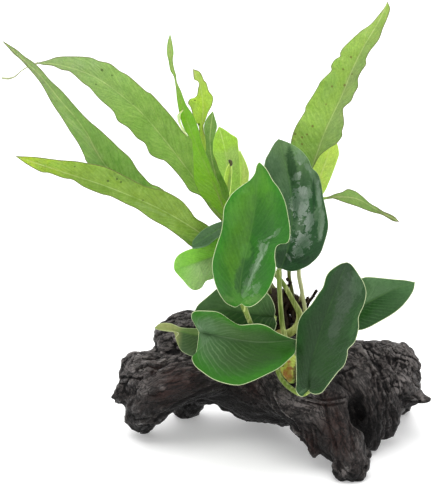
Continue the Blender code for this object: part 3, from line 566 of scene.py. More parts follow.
anubias = dict(
    front=dict(
        rib=((241.5, 304, -0.04), (240, 288, -0.038), (243, 266, -0.035), (250, 236, -0.03),
             (256, 200, -0.024), (259, 162, -0.018)),
        left=((236, 307), (232, 306), (225, 301.6), (217.7, 290), (213.4, 276), (212.4, 263), (216, 248),
              (221, 233), (223, 221), (224, 209), (227, 202), (232.5, 193.6), (241, 186.5), (249, 181),
              (254.5, 174), (256.5, 166)),
        right=((246, 306.5), (252, 306), (260, 300.5), (267.6, 291), (274, 277), (275.7, 267), (274.7, 257),
               (275.7, 248), (279.5, 244), (288, 242), (290, 230.5), (288, 216), (285, 202), (279, 189),
               (273, 181), (267, 170), (262, 164)),
        slope=(0.25, 0.1), crown=0.002, wave=0.0004,
        stem=((286, 362, -0.011), (271, 351, -0.02), (257, 338, -0.031), (250, 322, -0.0355),
              (246, 312, -0.0372), (242, 303, -0.0385)),
        look=dict(left=(79, 130, 32), right=(45, 109, 24), tip=(96, 158, 47), foot=(80, 141, 48),
                  edge=(52, 132, 22), patch=(58, 100, 52), patchStrength=0.5, vein=(96, 150, 78),
                  veinStrength=0.12,
                  tints=(((36, 74, 34), 0.7, 1.6, (247, 266, 7, 26, 8), (240, 282, 6, 16, 0)),
                         ((50, 90, 44), 0.3, 1.6, (262, 226, 12, 26, -14)),
                         ((34, 104, 8), 0.5, 1.4, (226, 280, 6, 20, -12)),
                         ((100, 160, 62), 0.5, 1.4, (233, 214, 8, 16, 20), (256, 178, 5, 10, 0),
                          (246, 250, 6, 9, 10)),
                         ((108, 156, 74), 0.7, 1.9, (229, 299, 9, 4, 20), (254, 299, 10, 5, -14)),
                         # painted highlight: thin pale lines along the crease
                         ((146, 172, 140), 0.55, 1.8, (266, 248, 1.4, 6, 24), (258, 264, 1.2, 11, 28),
                          (250, 281, 1.2, 10, 22))),
                  # glossy patches: coat gloss, with a grey painted sheen in the colour
                  wet=((263, 247, 7, 5, 60), (261, 256, 4, 10, 30), (254, 270, 4.5, 13, 26),
                       (247, 286, 4.5, 12, 16), (256, 288, 4.5, 8, 30), (277, 232, 2.6, 6, 40),
                       (268, 238, 1.3, 8, 62)),
                  wetStrength=0.22, wetColour=(116, 142, 112), wetTorn=1.9, wetGloss=0.6, wetSize=0.0024),
    ),
    upper_right=dict(
        rib=((281, 268.5, -0.012), (288, 248, -0.011), (292, 218, -0.007), (289, 180, -0.001),
             (278.5, 139, 0.004)),
        left=((276, 266), (271, 245), (267, 215), (263, 185), (265, 162.5), (269, 153), (274.6, 143)),
        right=((287, 270.5), (293, 271), (300.5, 269), (310, 264), (319.6, 254), (325, 240), (328, 226),
               (326, 211), (323, 197), (321, 184), (317.7, 174), (312, 168), (308, 159), (301, 150.6),
               (291, 144), (283, 140.5)),
        slope=(0.2, 0.25), crown=0.0018, wave=0.0006,
        stem=((281.5, 347, 0.0), (284.5, 338, -0.0105), (282, 322, -0.01), (279.6, 292, -0.0095),
              (279, 269, -0.0095)),
        look=dict(left=(76, 110, 72), right=(41, 86, 42), tip=(114, 146, 95), patch=(30, 62, 36),
                  patchStrength=0.6, vein=(60, 96, 60), veinStrength=0.2, margin=(120, 150, 100),
                  # the first two tints, grey-green, are painted reflection on the glossy blade
                  tints=(((106, 136, 98), 0.85, 0.9, (273, 180, 10, 38, -4), (270, 215, 7, 16, 0)),
                         ((112, 140, 106), 0.85, 1.1, (319, 198, 3.2, 26, -8), (321, 224, 3.4, 20, 6),
                          (313, 176, 3, 12, -24)),
                         ((24, 62, 26), 0.75, 1.4, (292, 168, 5, 22, -8), (300, 259, 14, 6, 20),
                          (314, 205, 1.6, 26, -2)),
                         ((34, 58, 36), 0.6, 1.0, (283, 258, 8, 11, 10)),
                         # painted reflection: more grey-green patches
                         ((112, 140, 106), 0.6, 1.8, (317, 214, 4, 9, -4), (300, 226, 6, 9, 20),
                          (309, 190, 3, 8, 0))),
                  # glossy patches: coat gloss, with a grey painted sheen in the colour; the last is a thin
                  # painted highlight
                  wet=((300, 157, 6, 8, -34), (308, 167, 2.4, 7, -40), (297, 176, 4, 6, 50),
                       (300, 203, 10, 17, -4), (304, 192, 8, 6, 30), (319, 196, 2.4, 18, -6),
                       (322, 224, 2.4, 16, 6), (303, 240, 12, 9, 24), (298, 252, 8, 6, 60),
                       (309, 222, 5, 12, 8), (289, 258, 6, 1.6, 62)),
                  wetStrength=0.34, wetColour=(116, 138, 118), wetTorn=2.1, wetGloss=0.8, wetSize=0.0022),
    ),
    lower_left=dict(
        rib=((199, 331.7, -0.043), (225, 337, -0.046), (260, 342, -0.043), (297, 340, -0.034)),
        left=((194.4, 323), (191.7, 317), (194, 311.5), (206, 311), (216.6, 312), (224, 316), (231, 321),
              (239, 325), (250, 324.4), (259, 324), (267.6, 326.5), (276, 332), (287, 337)),
        right=((198, 344), (196, 353.6), (192, 358), (195, 365.6), (202.5, 372), (213, 379), (226, 383.5),
               (239, 385), (252, 381), (265, 375), (278.5, 368), (289, 359), (294.7, 352.6)),
        slope=(0.15, -0.35), crown=0.0022, wave=0.0005,
        stem=((285.5, 362, -0.0105), (276, 361.5, -0.019), (262, 361, -0.029), (248, 360, -0.036),
              (220, 349, -0.0405), (200, 333, -0.0415)),
        look=dict(left=(69, 102, 48), right=(48, 82, 30), tip=(41, 85, 20), tipFrom=(0.4, 0.9),
                  foot=(92, 126, 84), footTo=(0.0, 0.5), edge=(49, 119, 15), patch=(46, 74, 35),
                  patchStrength=0.4, vein=(116, 146, 102), veinStrength=0.3, rib=(120, 150, 104),
                  ribStrength=0.2, veins=13.0, lean=0.75, wobble=0.09, veinsFrom=0.25, veinsTo=0.75,
                  tints=(((98, 130, 92), 0.6, 1.2, (206, 328, 10, 12, 20)),
                         ((50, 122, 8), 0.7, 1.0, (238, 380, 22, 5, 6), (264, 373, 17, 5, -26)))),
    ),
    lower_right=dict(
        rib=((309, 389.4, -0.041), (310, 370, -0.044), (318, 340, -0.043), (330, 305, -0.04),
             (347, 262, -0.034)),
        left=((305, 394), (302, 396.4), (299, 395), (296, 390), (296.6, 384.5), (296.6, 369), (296, 353),
              (296.6, 337), (298, 324), (302, 315), (311, 305), (319, 293), (323, 287), (326, 277),
              (330, 271), (340, 264)),
        right=((311, 392.6), (316, 394), (322, 392), (328, 384.5), (337, 372.6), (344, 365), (347, 356),
               (348, 349), (355, 341), (358.5, 328), (358.5, 317), (364, 304), (366, 293), (364, 284),
               (359.5, 276), (352, 265)),
        slope=(0.3, 0.2), crown=0.0018, wave=0.0005,
        stem=((284, 363.5, -0.014), (278, 363.5, -0.024), (278, 371, -0.03), (282.5, 380.5, -0.033),
              (291, 388.5, -0.036), (301, 394, -0.0385), (309, 391, -0.04)),
        look=dict(left=(40, 67, 35), right=(45, 77, 37), tip=(59, 80, 57), edge=(40, 84, 34),
                  patch=(38, 62, 38), patchStrength=0.5, vein=(66, 92, 62), veinStrength=0.2, grain=1.6,
                  bump=0.6, roughness=0.42, ribStrength=0.06,
                  tints=(((62, 104, 50), 0.5, 1.2, (354, 326, 3, 36, 14)),
                         ((26, 70, 4), 0.7, 1.4, (332, 366, 9, 22, 34), (343, 344, 8, 10, 20)),
                         ((20, 54, 2), 0.7, 1.3, (312, 384, 16, 10, 0), (300, 362, 4, 22, 0)),
                         # painted sheen: the two grey-green bands; painted highlight: the pale tick on the
                         # lower lobe
                         ((88, 100, 88), 0.5, 1.8, (345, 300, 9, 26, 14), (336, 326, 7, 20, 16)),
                         ((96, 122, 92), 0.5, 1.4, (357, 284, 7, 16, 8)),
                         ((120, 150, 112), 0.35, 1.6, (303, 391, 2, 5, 50)))),
    ),
    right=dict(
        rib=((341, 318, -0.012), (362, 306, -0.013), (388, 292, -0.012), (415, 282, -0.006)),
        left=((340, 305), (348, 295), (357, 280), (362, 278), (369, 277), (391, 279), (404, 280)),
        right=((345, 327), (350, 329), (359.5, 330), (367, 328), (377, 323), (394, 313), (405, 303),
               (413, 291)),
        slope=(0.25, -0.15), crown=0.0015, wave=0.0004,
        stem=((280.5, 342, 0.003), (297, 343, -0.007), (315, 331, -0.009), (330, 321, -0.0105),
              (342, 317.5, -0.011)),
        look=dict(left=(92, 126, 82), right=(36, 77, 26), tip=(83, 120, 75), patch=(44, 78, 40),
                  patchStrength=0.5, vein=(84, 124, 74), veinStrength=0.35),
    ),
    left=dict(
        rib=((228, 252, -0.01), (212, 257, -0.012), (195, 263, -0.014), (174.5, 270, -0.013)),
        left=((228, 268), (214, 278), (206, 281), (201.5, 287.5), (195, 290), (189.5, 287.5), (183, 280),
              (176.5, 273)),
        right=((222, 237), (207, 243.5), (193, 248), (181, 253), (175.4, 259), (174, 266)),
        slope=(-0.15, 0.15), crown=0.0012, wave=0.0006,
        stem=((280, 340, 0.005), (268, 335, -0.003), (252, 300, -0.005), (238, 268, -0.0065),
              (228, 251, -0.009)),
        look=dict(left=(179, 207, 139), right=(147, 213, 69), tip=(151, 210, 87), patch=(125, 184, 75),
                  patchStrength=0.4, vein=(146, 186, 104), veinStrength=0.4, margin=(160, 192, 110),
                  through=0.4),
    ),
    small=dict(
        rib=((232, 222, -0.012), (219, 229, -0.014), (205, 238, -0.016), (192, 246, -0.018)),
        left=((226, 232), (216, 239), (207.5, 245.5), (199, 248), (193, 248.5)),
        right=((223, 221.5), (217, 223), (210, 226), (202, 231), (197, 236), (193, 241)),
        slope=(-0.9, 0.9), crown=0.001, wave=0.0003,
        stem=((279.5, 337, 0.008), (294, 330, 0.003), (300, 316, 0.001), (291.7, 298.5, 0.0),
              (282.4, 282.8, 0.0), (262, 258, -0.003), (240, 232, -0.0085), (231, 222.5, -0.0115)),
        look=dict(left=(69, 107, 59), right=(78, 118, 63), patch=(44, 76, 48), patchStrength=0.7,
                  vein=(96, 130, 88), veinStrength=0.5, margin=(92, 124, 84), roughness=0.3),
    ),
    middle_left=dict(
        rib=((274, 317, -0.014), (250, 313, -0.018), (222, 309, -0.021), (194, 312, -0.022)),
        left=((276, 326), (268, 338), (246, 342), (218, 334), (202, 322)),
        right=((275, 310), (272, 300), (266, 292.5), (252, 286), (240, 285), (228, 286.5), (217, 289),
               (213, 292), (206, 298), (198, 305)),
        slope=(-0.25, 0.3), crown=0.0018, wave=0.0005,
        stem=((283, 353, -0.004), (277, 348, -0.011), (273, 337, -0.012), (273, 325, -0.012),
              (274, 316.5, -0.013)),
        look=dict(left=(39, 82, 22), right=(96, 136, 77), tip=(85, 120, 70), tipFrom=(0.4, 0.9),
                  foot=(42, 74, 22), patch=(38, 70, 34), patchStrength=0.5, vein=(96, 128, 70),
                  veinStrength=0.35, veins=11.0),
    ),
    far_left=dict(
        rib=((214, 338, -0.03), (198, 335.5, -0.031), (178, 331, -0.033), (154, 328, -0.036)),
        left=((211, 354), (195, 356.5), (183, 352), (178, 345), (176, 338), (178.5, 333), (166, 331),
              (159, 330)),
        right=((210, 329), (196, 328.5), (185, 328), (179, 327), (172, 324), (166, 323), (159, 324)),
        slope=(-0.25, 0.7), crown=0.001, wave=0.0003,
        stem=((284.5, 357, -0.0075), (270, 359, -0.014), (250, 362, -0.024), (230, 352, -0.0275),
              (213, 338, -0.029)),
        look=dict(left=(74, 98, 60), right=(112, 138, 76), tip=(161, 164, 103), tipFrom=(0.5, 0.66),
                  patch=(60, 84, 48), patchStrength=0.25, vein=(110, 136, 84), veinStrength=0.3,
                  marginStrength=0.4),
    ),
)
anubiasLook = dict(
    veins=17.0, lean=0.42, veinWidth=0.22, ribWidth=0.6, rib=(92, 142, 62), ribStrength=0.2, marginWidth=0.42,
    margin=(206, 220, 170), marginStrength=0.9, patchSize=0.011, fineSize=0.0011, fineDepth=0.34,
    fibreDepth=0.22, fibreLength=3.0, fibreHeight=0.6, veinDepth=0.5, grain=0.8, bump=0.4, roughness=0.36,
    quilt=0.00012, wobble=0.05, through=0.0,
)
anubiasStem = dict(footRadius=0.0023, sheathRadius=0.00185, middleRadius=0.00128, collarRadius=0.0015,
                   points=48)

# the rib under a blade: how far behind it, most at its foot, and how thick
anubiasRib = dict(rows=40, shownRows=37, sunk=0.001, footSunk=0.0008, footRows=12, footRadius=0.0009,
                  tipRadius=0.0003)

stemFinish, stemTree, stemShader = newMaterial("anubiasStem",
                                               **{"Roughness": 0.38, "Specular IOR Level": 0.2})
stemPatch = patchesAt(stemTree, 0.006, 2.0, 2.0)
stemLong = addNode(stemTree, "ShaderNodeMapping", {"Vector": objectPlace(stemTree), "Scale": (900, 900, 60)})
stemLines = noiseAt(stemTree, stemLong.outputs["Vector"], 1.0)
stemColour = layered(
    stemTree, onScreen(190, 196, 120),
    (rampTo(stemTree, attributeAt(stemTree, "along"), 0.1, 0.6), (122, 148, 64), None),
    (stemPatch, (98, 122, 46), 0.55), (patchesAt(stemTree, 0.0016, 2.4, 6.0), (118, 122, 60), 0.35),
    (rampTo(stemTree, stemLines, 0.48, 0.62), (202, 212, 136), 0.6),
    (rampTo(stemTree, stemLines, 0.46, 0.34), (94, 124, 40), 0.5),
    (spotPatch(stemTree, (284, 378, -0.032), 13, 18, 0.02), (66, 90, 18), 0.6))
stemTree.links.new(stemColour, stemShader.inputs["Base Color"])
roughen(stemTree, stemShader, stemPatch, 0.3, 0.0003)


anubiasForm = dict(
    bow=0.8, sunk=0.6, flatByRib=0.2,  # how the blade swells between its side veins
    grooveDepth=0.0005, grooveWidth=0.07,  # along the rib
    unevenHeight=0.0007, unevenSize=0.011, waves=7.0,
)


def quilting(look, u, v):
    # the blade swells softly between its side veins and sinks along its rib
    phase = (v - look["lean"] * abs(u) ** anubiasForm["bow"]) * look["veins"]
    swell = abs(math.sin(math.pi * phase)) ** anubiasForm["bow"] - anubiasForm["sunk"]
    fade = min(1.0, abs(u) / anubiasForm["flatByRib"]) * (1 - abs(u) ** 3)
    groove = anubiasForm["grooveDepth"] * math.exp(-(u / anubiasForm["grooveWidth"]) ** 2) * (1 - v)
    return look["quilt"] * swell * fade - groove


for number, (leafName, leaf) in enumerate(anubias.items()):
    look = {**anubiasLook, "seed": 3.0 * number, **leaf["look"]}

    def anubiasRelief(u, v, spot):
        uneven = noise.noise(spot / anubiasForm["unevenSize"] + Vector((number, 0, 0)))
        wave = marginWave(number, u, v, leaf["wave"], anubiasForm["waves"])
        return quilting(look, u, v) + anubiasForm["unevenHeight"] * uneven + wave

    finish = leafFinish("anubiasBlade_" + leafName, leaf, look)
    blade = leafSheet("anubias_" + leafName, leaf, sheetForm["anubiasCells"], sheetForm["anubiasThickness"],
                      finish, anubiasRelief)
    ribRows = smoothPath(leaf["rib"], anubiasRib["rows"])[:anubiasRib["shownRows"]]
    ribSpots = []
    for row, (across, down, back) in enumerate(ribRows.tolist()):
        atFoot = max(0, 1 - row / anubiasRib["footRows"])
        ribSpots.append(spotAt(across, down, back + anubiasRib["sunk"] + anubiasRib["footSunk"] * atFoot))
    ribRadii = np.linspace(anubiasRib["footRadius"], anubiasRib["tipRadius"], len(ribSpots))
    underRib = stemMesh(ribSpots, ribRadii, stemFinish, sides=8)
    piece = joinMeshes("anubias_" + leafName, [blade, underRib])
    standIn(piece, "anubias_leaf", "anubias_leaf_" + leafName)
    way = smoothPath([spotAt(*point) for point in leaf["stem"]], anubiasStem["points"])
    share = np.linspace(0, 1, len(way))
    radii = np.interp(share, (0, 0.22, 0.34, 0.5, 0.88, 0.94, 1), [anubiasStem[key] for key in (
        "footRadius", "sheathRadius", "middleRadius", "middleRadius", "middleRadius", "collarRadius",
        "middleRadius")])
    petiole = newPiece("anubias_petiole_" + leafName, stemMesh(way, radii, stemFinish))
    standIn(petiole, "anubias_stem", "anubias_stem_" + leafName)
print("anubias leaves:", len(anubias))


# Where a stem starts: the rhizomes' middle lines, (pixels across, pixels down, metres back, radius)

rhizomes = dict(
    anubias=((280, 335, 0.009, 0.004), (282, 344, 0.002, 0.005), (285, 357, -0.006, 0.0052),
             (288, 364, -0.013, 0.005), (290, 371, -0.019, 0.0044), (291.5, 377, -0.0235, 0.0031),
             (292, 382, -0.026, 0.0019)),
    fern=((259, 331, 0.015, 0.0044), (265, 318, 0.017, 0.0054), (269, 305, 0.02, 0.0058),
          (278, 299, 0.027, 0.0056), (291, 303, 0.029, 0.0052), (300, 313, 0.024, 0.0046),
          (306, 327, 0.018, 0.0042), (309, 338, 0.014, 0.0036)),
)
fernSteps = 100
fernAxis = smoothPath(rhizomes["fern"], fernSteps).tolist()

# Fern fronds: as the anubias, with a stalk in place of a stem. Its first number is how far
# along the rhizome it starts.

fern = dict(
    far_left=dict(
        stalk=(0.1, (261, 311, 0.0075), (262, 287, 0.006), (248, 266, 0.005), (228, 250, 0.0045)),
        rib=((206, 238, 0.004), (165, 212, 0.003), (130, 190, 0.001), (107, 167, -0.001), (95, 149, -0.0016),
             (88, 135, -0.002), (75, 117, -0.003), (61, 101, -0.004), (41.5, 77, -0.0035), (25, 61, -0.003),
             (2.5, 41, 0.001)),
        left=((180, 228), (130, 200), (100, 175), (87, 162), (84, 155), (78, 143), (70, 131), (62, 118),
              (52, 103), (40, 82), (22, 61), (14, 54)),
        right=((190, 212), (162, 189), (151, 184), (143, 176), (137, 169), (130, 158), (119, 148), (112, 141),
               (99.5, 129.5), (87, 119), (75, 106), (62, 91), (50, 80), (41.5, 70), (33, 62), (24, 56),
               (17, 50), (7.5, 44)),
        slope=(0.55, 0.55), crown=0.001, wave=0.0007,
        look=dict(left=(140, 177, 86), right=(129, 167, 78), tip=(165, 167, 134), tipFrom=(0.55, 1.0),
                  foot=(110, 158, 56), footTo=(0.3, 0.7),
                  tints=(((178, 196, 132), 0.5, 1.2, (84, 136, 3, 34, -38)),
                         ((96, 150, 42), 0.5, 1.4, (118, 166, 12, 8, -50)))),
    ),
    low_left=dict(
        stalk=(0.06, (259, 316, 0.003), (260, 298, 0.0), (254, 281, -0.002), (246, 270, -0.002)),
        rib=((236, 260, -0.0025), (205, 236, -0.004), (162, 210, -0.008), (111, 188, -0.013),
             (60, 171, -0.02), (15, 156, -0.03)),
        left=((218, 260), (193, 247.6), (182, 239), (167, 228), (151, 219), (137, 209), (126, 204),
              (111, 196.5), (101, 194), (84, 187), (73, 180), (63, 178), (49, 173), (41, 172), (28, 165)),
        right=((225, 242), (208.6, 226), (196, 218), (190, 210), (182, 201), (172, 194.5), (162, 190),
               (145, 186), (125, 176), (106, 167), (87, 163), (75, 161), (60, 160), (36, 157)),
        slope=(-0.15, 0.2), crown=0.001, wave=0.0007,
        look=dict(left=(131, 164, 53), right=(142, 170, 59), tip=(215, 228, 53), tipFrom=(0.65, 1.0),
                  foot=(90, 132, 46), footTo=(0.0, 0.3), glow=0.06,
                  tints=(((166, 194, 70), 0.6, 1.4, (192, 207, 5, 13, -38), (60, 165, 4, 20, -80)),
                         ((84, 124, 48), 0.6, 1.5, (180, 238, 4, 22, -58), (124, 178, 3, 16, -66)),
                         ((176, 196, 128), 0.45, 1.2, (150, 209, 2, 26, -62))),
                  dots=((108, 181, 1.5), (117, 179, 1.3), (121, 182, 1.2), (75, 166, 0.9), (143, 200, 1.0))),
    ),
    upper_left=dict(
        stalk=(0.28, (262, 284, 0.016), (248, 262, 0.0155), (238, 244, 0.015)),
        rib=((226, 226, 0.014), (205, 195, 0.015), (188, 170, 0.017), (150, 122, 0.024), (126, 99, 0.028),
             (95, 77, 0.036), (60, 65, 0.043), (36, 63, 0.047)),
        left=((212, 211), (201, 196.5), (190, 191), (183, 181), (174, 170), (165, 161), (159, 159),
              (150, 154), (145, 143.5), (137, 138), (128.5, 128), (118, 121), (113, 111), (99.5, 99),
              (90, 88), (83, 83), (70.5, 72), (62, 70), (53, 66), (44, 65)),
        right=((222, 206), (215, 178), (198, 153), (191, 139), (183, 132), (177, 123), (168, 112),
               (151.5, 94), (146, 91), (129, 76), (120, 71), (110, 63.5), (99.5, 61), (88, 57), (60.5, 56.5),
               (48, 60)),
        slope=(-0.1, 0.15), crown=0.0012, wave=0.0008,
        look=dict(left=(140, 176, 78), right=(138, 172, 76), tip=(179, 190, 147), tipFrom=(0.5, 1.0),
                  foot=(166, 202, 82), footTo=(0.0, 0.45),
                  dots=((102, 70, 1.6), (112, 75, 0.9), (96, 84, 0.9), (133, 104, 0.8)), glow=0.12),
    ),
    twisted=dict(
        stalk=(0.16, (265, 305, 0.0095), (265, 285, 0.009), (252, 260, 0.008), (240, 240, 0.0065)),
        rib=((230, 222, 0.005), (212, 180, 0.004), (198, 148, 0.0035), (186, 118, 0.003), (179, 95, 0.001),
             (175, 77, 0.0), (171, 60, -0.001), (170, 34, -0.003)),
        left=((218, 212), (206, 200), (201, 196), (194, 181), (193, 163), (192, 143), (189, 137), (183, 126),
              (179.5, 114), (177, 100), (176, 89), (174, 77), (170.5, 70.5), (168.6, 61), (167, 53),
              (167.5, 43)),
        right=((229, 204), (224, 199), (220, 186.5), (214, 173), (208, 158), (202.5, 144), (198, 127),
               (193, 115), (186, 104), (181, 91), (177, 82), (176, 75), (174, 68), (172.8, 60), (173.5, 52),
               (171.5, 39.5)),
        slope=(0.25, 0.25), crown=0.0006, wave=0.0004,
        look=dict(left=(134, 193, 25), right=(125, 185, 23), tip=(190, 206, 125), tipFrom=(0.6, 0.85),
                  foot=(146, 197, 49), footTo=(0.0, 0.4), secondStrength=0.2, glow=0.08,
                  margin=(112, 142, 60), ribStrength=0.1),
    ),
    torn=dict(
        stalk=(0.4, (265, 280, 0.026), (252, 250, 0.0235), (234, 220, 0.02)),
        rib=((222, 200, 0.019), (209, 155, 0.02), (203, 130, 0.021), (203, 105, 0.023), (200, 85, 0.025),
             (193, 69, 0.026)),
        left=((212, 190), (200, 150), (199, 128), (194, 119), (191, 108), (188, 103), (190, 99), (194, 98),
              (197, 95), (198, 89), (199, 84), (197.5, 81), (194, 79)),
        right=((224, 186), (212, 150), (202.9, 129), (206, 119), (208, 113), (212, 105), (213, 97), (209, 91),
               (206.5, 83), (204, 80), (200, 72)),
        slope=(0.15, 0.1), crown=0.0006, wave=0.0003,
        look=dict(left=(204, 227, 76), right=(210, 230, 82), tip=(214, 224, 119), tipFrom=(0.75, 0.95),
                  glow=0.08, dots=((199, 124, 1.5), (195, 100, 0.9))),
    ),
    dark_point=dict(
        stalk=(0.22, (263, 280, 0.0125), (250, 254, 0.0125), (238, 226, 0.0125)),
        rib=((225, 204, 0.012), (213, 165, 0.011), (210, 138, 0.011), (213, 111, 0.012)),
        left=((219, 196), (207, 160), (206, 142), (204, 127), (207, 118)),
        right=((229, 192), (215, 160), (213, 144), (215, 135), (217, 126), (215, 118)),
        slope=(0.1, 0.1), crown=0.0006, wave=0.0003,
        look=dict(left=(120, 162, 74), right=(118, 160, 72), tip=(122, 160, 82), foot=(126, 178, 50),
                  footTo=(0.2, 0.5), glow=0.1, margin=(112, 150, 66), marginStrength=0.5),
    ),
    round_back=dict(
        stalk=(0.46, (268, 282, 0.031), (256, 250, 0.0285), (240, 222, 0.0265)),
        rib=((230, 206, 0.025), (227, 180, 0.026), (226, 155, 0.028), (219, 126.5, 0.031)),
        left=((222, 194), (215, 169), (213, 146), (215, 135)),
        right=((240, 190), (240, 165), (239, 153), (238, 144), (237, 138), (231, 134), (224, 129)),
        slope=(0.15, 0.15), crown=0.0008, wave=0.0003,
        look=dict(left=(176, 208, 96), right=(164, 196, 88), tip=(180, 214, 60), tipFrom=(0.64, 0.72),
                  glow=0.42, margin=(160, 186, 84),
                  tints=(((190, 196, 132), 0.5, 1.2, (232, 158, 8, 12, 0)),)),
    ),
    young_spear=dict(
        stalk=(0.34, (267, 282, 0.0205), (252, 252, 0.019), (236, 222, 0.0178)),
        rib=((227, 204, 0.017), (227, 188, 0.017), (229, 174, 0.0165), (231, 161, 0.016)),
        left=((224, 198), (223.5, 186), (226, 170)),
        right=((229, 198), (231, 186), (232, 170)),
        slope=(0.9, 0.9), crown=0.0006, wave=0.0,
        look=dict(left=(204, 232, 92), right=(120, 150, 48), tip=(196, 220, 90), glow=0.4,
                  margin=(206, 226, 120), ribStrength=0.0, dotColour=(60, 52, 24), dots=((230.5, 162, 3.0),)),
    ),
    pale_back=dict(
        stalk=(0.52, (271, 284, 0.036), (260, 254, 0.036), (246, 222, 0.034)),
        rib=((238, 206, 0.033), (242, 188, 0.034), (244, 168, 0.036), (240, 149.5, 0.039)),
        left=((233, 196), (234, 176), (236, 160)),
        right=((246, 192), (249, 176), (248, 168), (245, 160), (241.5, 153)),
        slope=(0.15, 0.15), crown=0.0006, wave=0.0002,
        look=dict(left=(212, 223, 118), right=(218, 225, 123), tip=(188, 212, 100), glow=0.36,
                  margin=(190, 208, 120)),
    ),
    tall_right=dict(
        stalk=(0.8, (305, 310, 0.013), (302, 292, 0.013), (298.6, 272, 0.013), (300, 240, 0.0145),
               (304, 205, 0.016)),
        rib=((309, 176, 0.018), (317, 153, 0.019), (326, 129, 0.022), (342, 95, 0.028), (352, 70, 0.032),
             (364, 46, 0.038), (379, 21, 0.046), (387.5, 2, 0.0535)),
        left=((297, 164), (291, 148), (292, 137), (296, 126), (304.5, 112), (306, 106), (313, 95),
              (318, 86.5), (321, 81), (331, 71), (331, 66), (334.5, 60), (340, 56.5), (340, 53.5), (343, 48),
              (351, 40), (361, 31), (370, 25), (377, 17), (385, 7)),
        right=((314, 166), (320, 155.5), (329, 148), (337, 143), (342, 136), (342, 131), (344, 123),
               (343, 110), (345.5, 106), (351, 101), (354, 94), (358, 86.5), (358, 79), (361, 72),
               (366, 64.5), (366, 59), (370, 51), (378.5, 40), (383, 28), (387, 19), (390, 9)),
        slope=(0.1, 0.2), crown=0.0012, wave=0.0008,
        look=dict(left=(162, 190, 82), right=(144, 164, 103), tip=(180, 197, 102), tipFrom=(0.6, 1.0),
                  foot=(118, 158, 66), footTo=(0.05, 0.35),
                  dotColour=(104, 92, 48),
                  dots=((351, 57, 1.3), (343, 69, 1.2), (344.5, 85, 1.5), (332, 86, 1.3), (312.5, 126, 1.4),
                        (295, 134, 1.2), (302, 137, 1.4), (307, 134, 1.1), (302, 144, 1.3), (326, 104, 0.9),
                        (352, 74, 0.9)),
                  tints=(((150, 152, 116), 0.45, 1.2, (350, 82, 5, 22, 24), (342, 112, 4, 18, 10)),
                         ((176, 172, 84), 0.5, 1.6, (296, 135, 5, 8, 10)),
                         ((128, 166, 84), 0.5, 1.2, (330, 84, 7, 18, 28)))),
    ),
    bright_right=dict(
        stalk=(0.67, (302, 292, 0.0268), (299, 270, 0.0255), (303, 240, 0.0255), (307, 222, 0.0258)),
        rib=((309, 208, 0.026), (318, 182, 0.028), (327, 158, 0.031), (333, 134, 0.036)),
        left=((306, 190), (312, 165), (322, 146)),
        right=((323, 194), (329, 182), (333, 172), (337, 161), (339, 153), (337, 143)),
        slope=(0.15, 0.15), crown=0.0006, wave=0.0002,
        look=dict(left=(216, 229, 104), right=(220, 232, 106), foot=(172, 206, 84), footTo=(0.0, 0.3),
                  glow=0.26, margin=(170, 196, 90)),
    ),
    drooping_right=dict(
        stalk=(0.59, (292, 292, 0.024), (289, 271, 0.017), (294, 240, 0.011), (306, 212, 0.009),
               (316, 202, 0.009)),
        rib=((326, 198, 0.008), (345, 197, 0.006), (360, 200, 0.003), (380, 211.5, -0.003),
             (399.5, 222, -0.01)),
        left=((334.5, 194), (342, 192), (348, 189), (355, 191), (361, 195), (370, 203), (377, 207),
              (383, 211), (390, 214), (395, 217)),
        right=((333, 198.5), (343, 202), (358, 207), (371, 212), (382, 215), (390, 219.5), (394, 221.5)),
        slope=(0.5, -0.3), crown=0.0004, wave=0.0003,
        look=dict(left=(142, 170, 94), right=(138, 166, 90), tip=(122, 117, 78), tipFrom=(0.55, 0.85)),
    ),
)
fernLook = dict(
    veins=30.0, lean=0.16, veinWidth=0.3, veinStrength=0.12, vein=(176, 200, 120), ribWidth=0.4,
    rib=(196, 214, 140), ribStrength=0.35, marginWidth=0.6, margin=(98, 96, 58), marginStrength=0.85,
    patchSize=0.009, patchStrength=0.62, second=(180, 202, 112), secondStrength=0.42, fineSize=0.001,
    fineDepth=0.36, fibreDepth=0.3, fibreLength=3.5, fibreHeight=1.0, veinDepth=0.4, roughness=0.42,
    dotColour=(62, 78, 34), grain=1.2, bump=0.5, wobble=0.03, through=0.45,
)
fernStalk = dict(footRadius=0.0011, bladeRadius=0.00075, tipRadius=0.00028, sunk=0.0005, points=70,
                 outOfRhizome=0.001, pale=("tall_right", "bright_right"))


def stalkFinish(name, foot, pale, green):
    made, tree, shader = newMaterial(name, **{"Roughness": 0.42, "Specular IOR Level": 0.2})
    along = attributeAt(tree, "along")
    patch = patchesAt(tree, 0.005, 2.0, 4.0)
    colour = layered(tree, onScreen(*foot), (rampTo(tree, along, 0.02, 0.08), pale, None),
                     (rampTo(tree, along, 0.15, 0.4), green, None), (patch, (116, 142, 62), 0.4))
    tree.links.new(colour, shader.inputs["Base Color"])
    roughen(tree, shader, patch, 0.3, 0.0003)
    return made


paleStalk = stalkFinish("fernStalkPale", (128, 104, 58), (206, 208, 158), (150, 176, 88))
# a darker copy of the same stalk: painted shade
paintedShadeStalk = stalkFinish("fernStalkDark", (44, 34, 22), (92, 92, 50), (150, 176, 88))

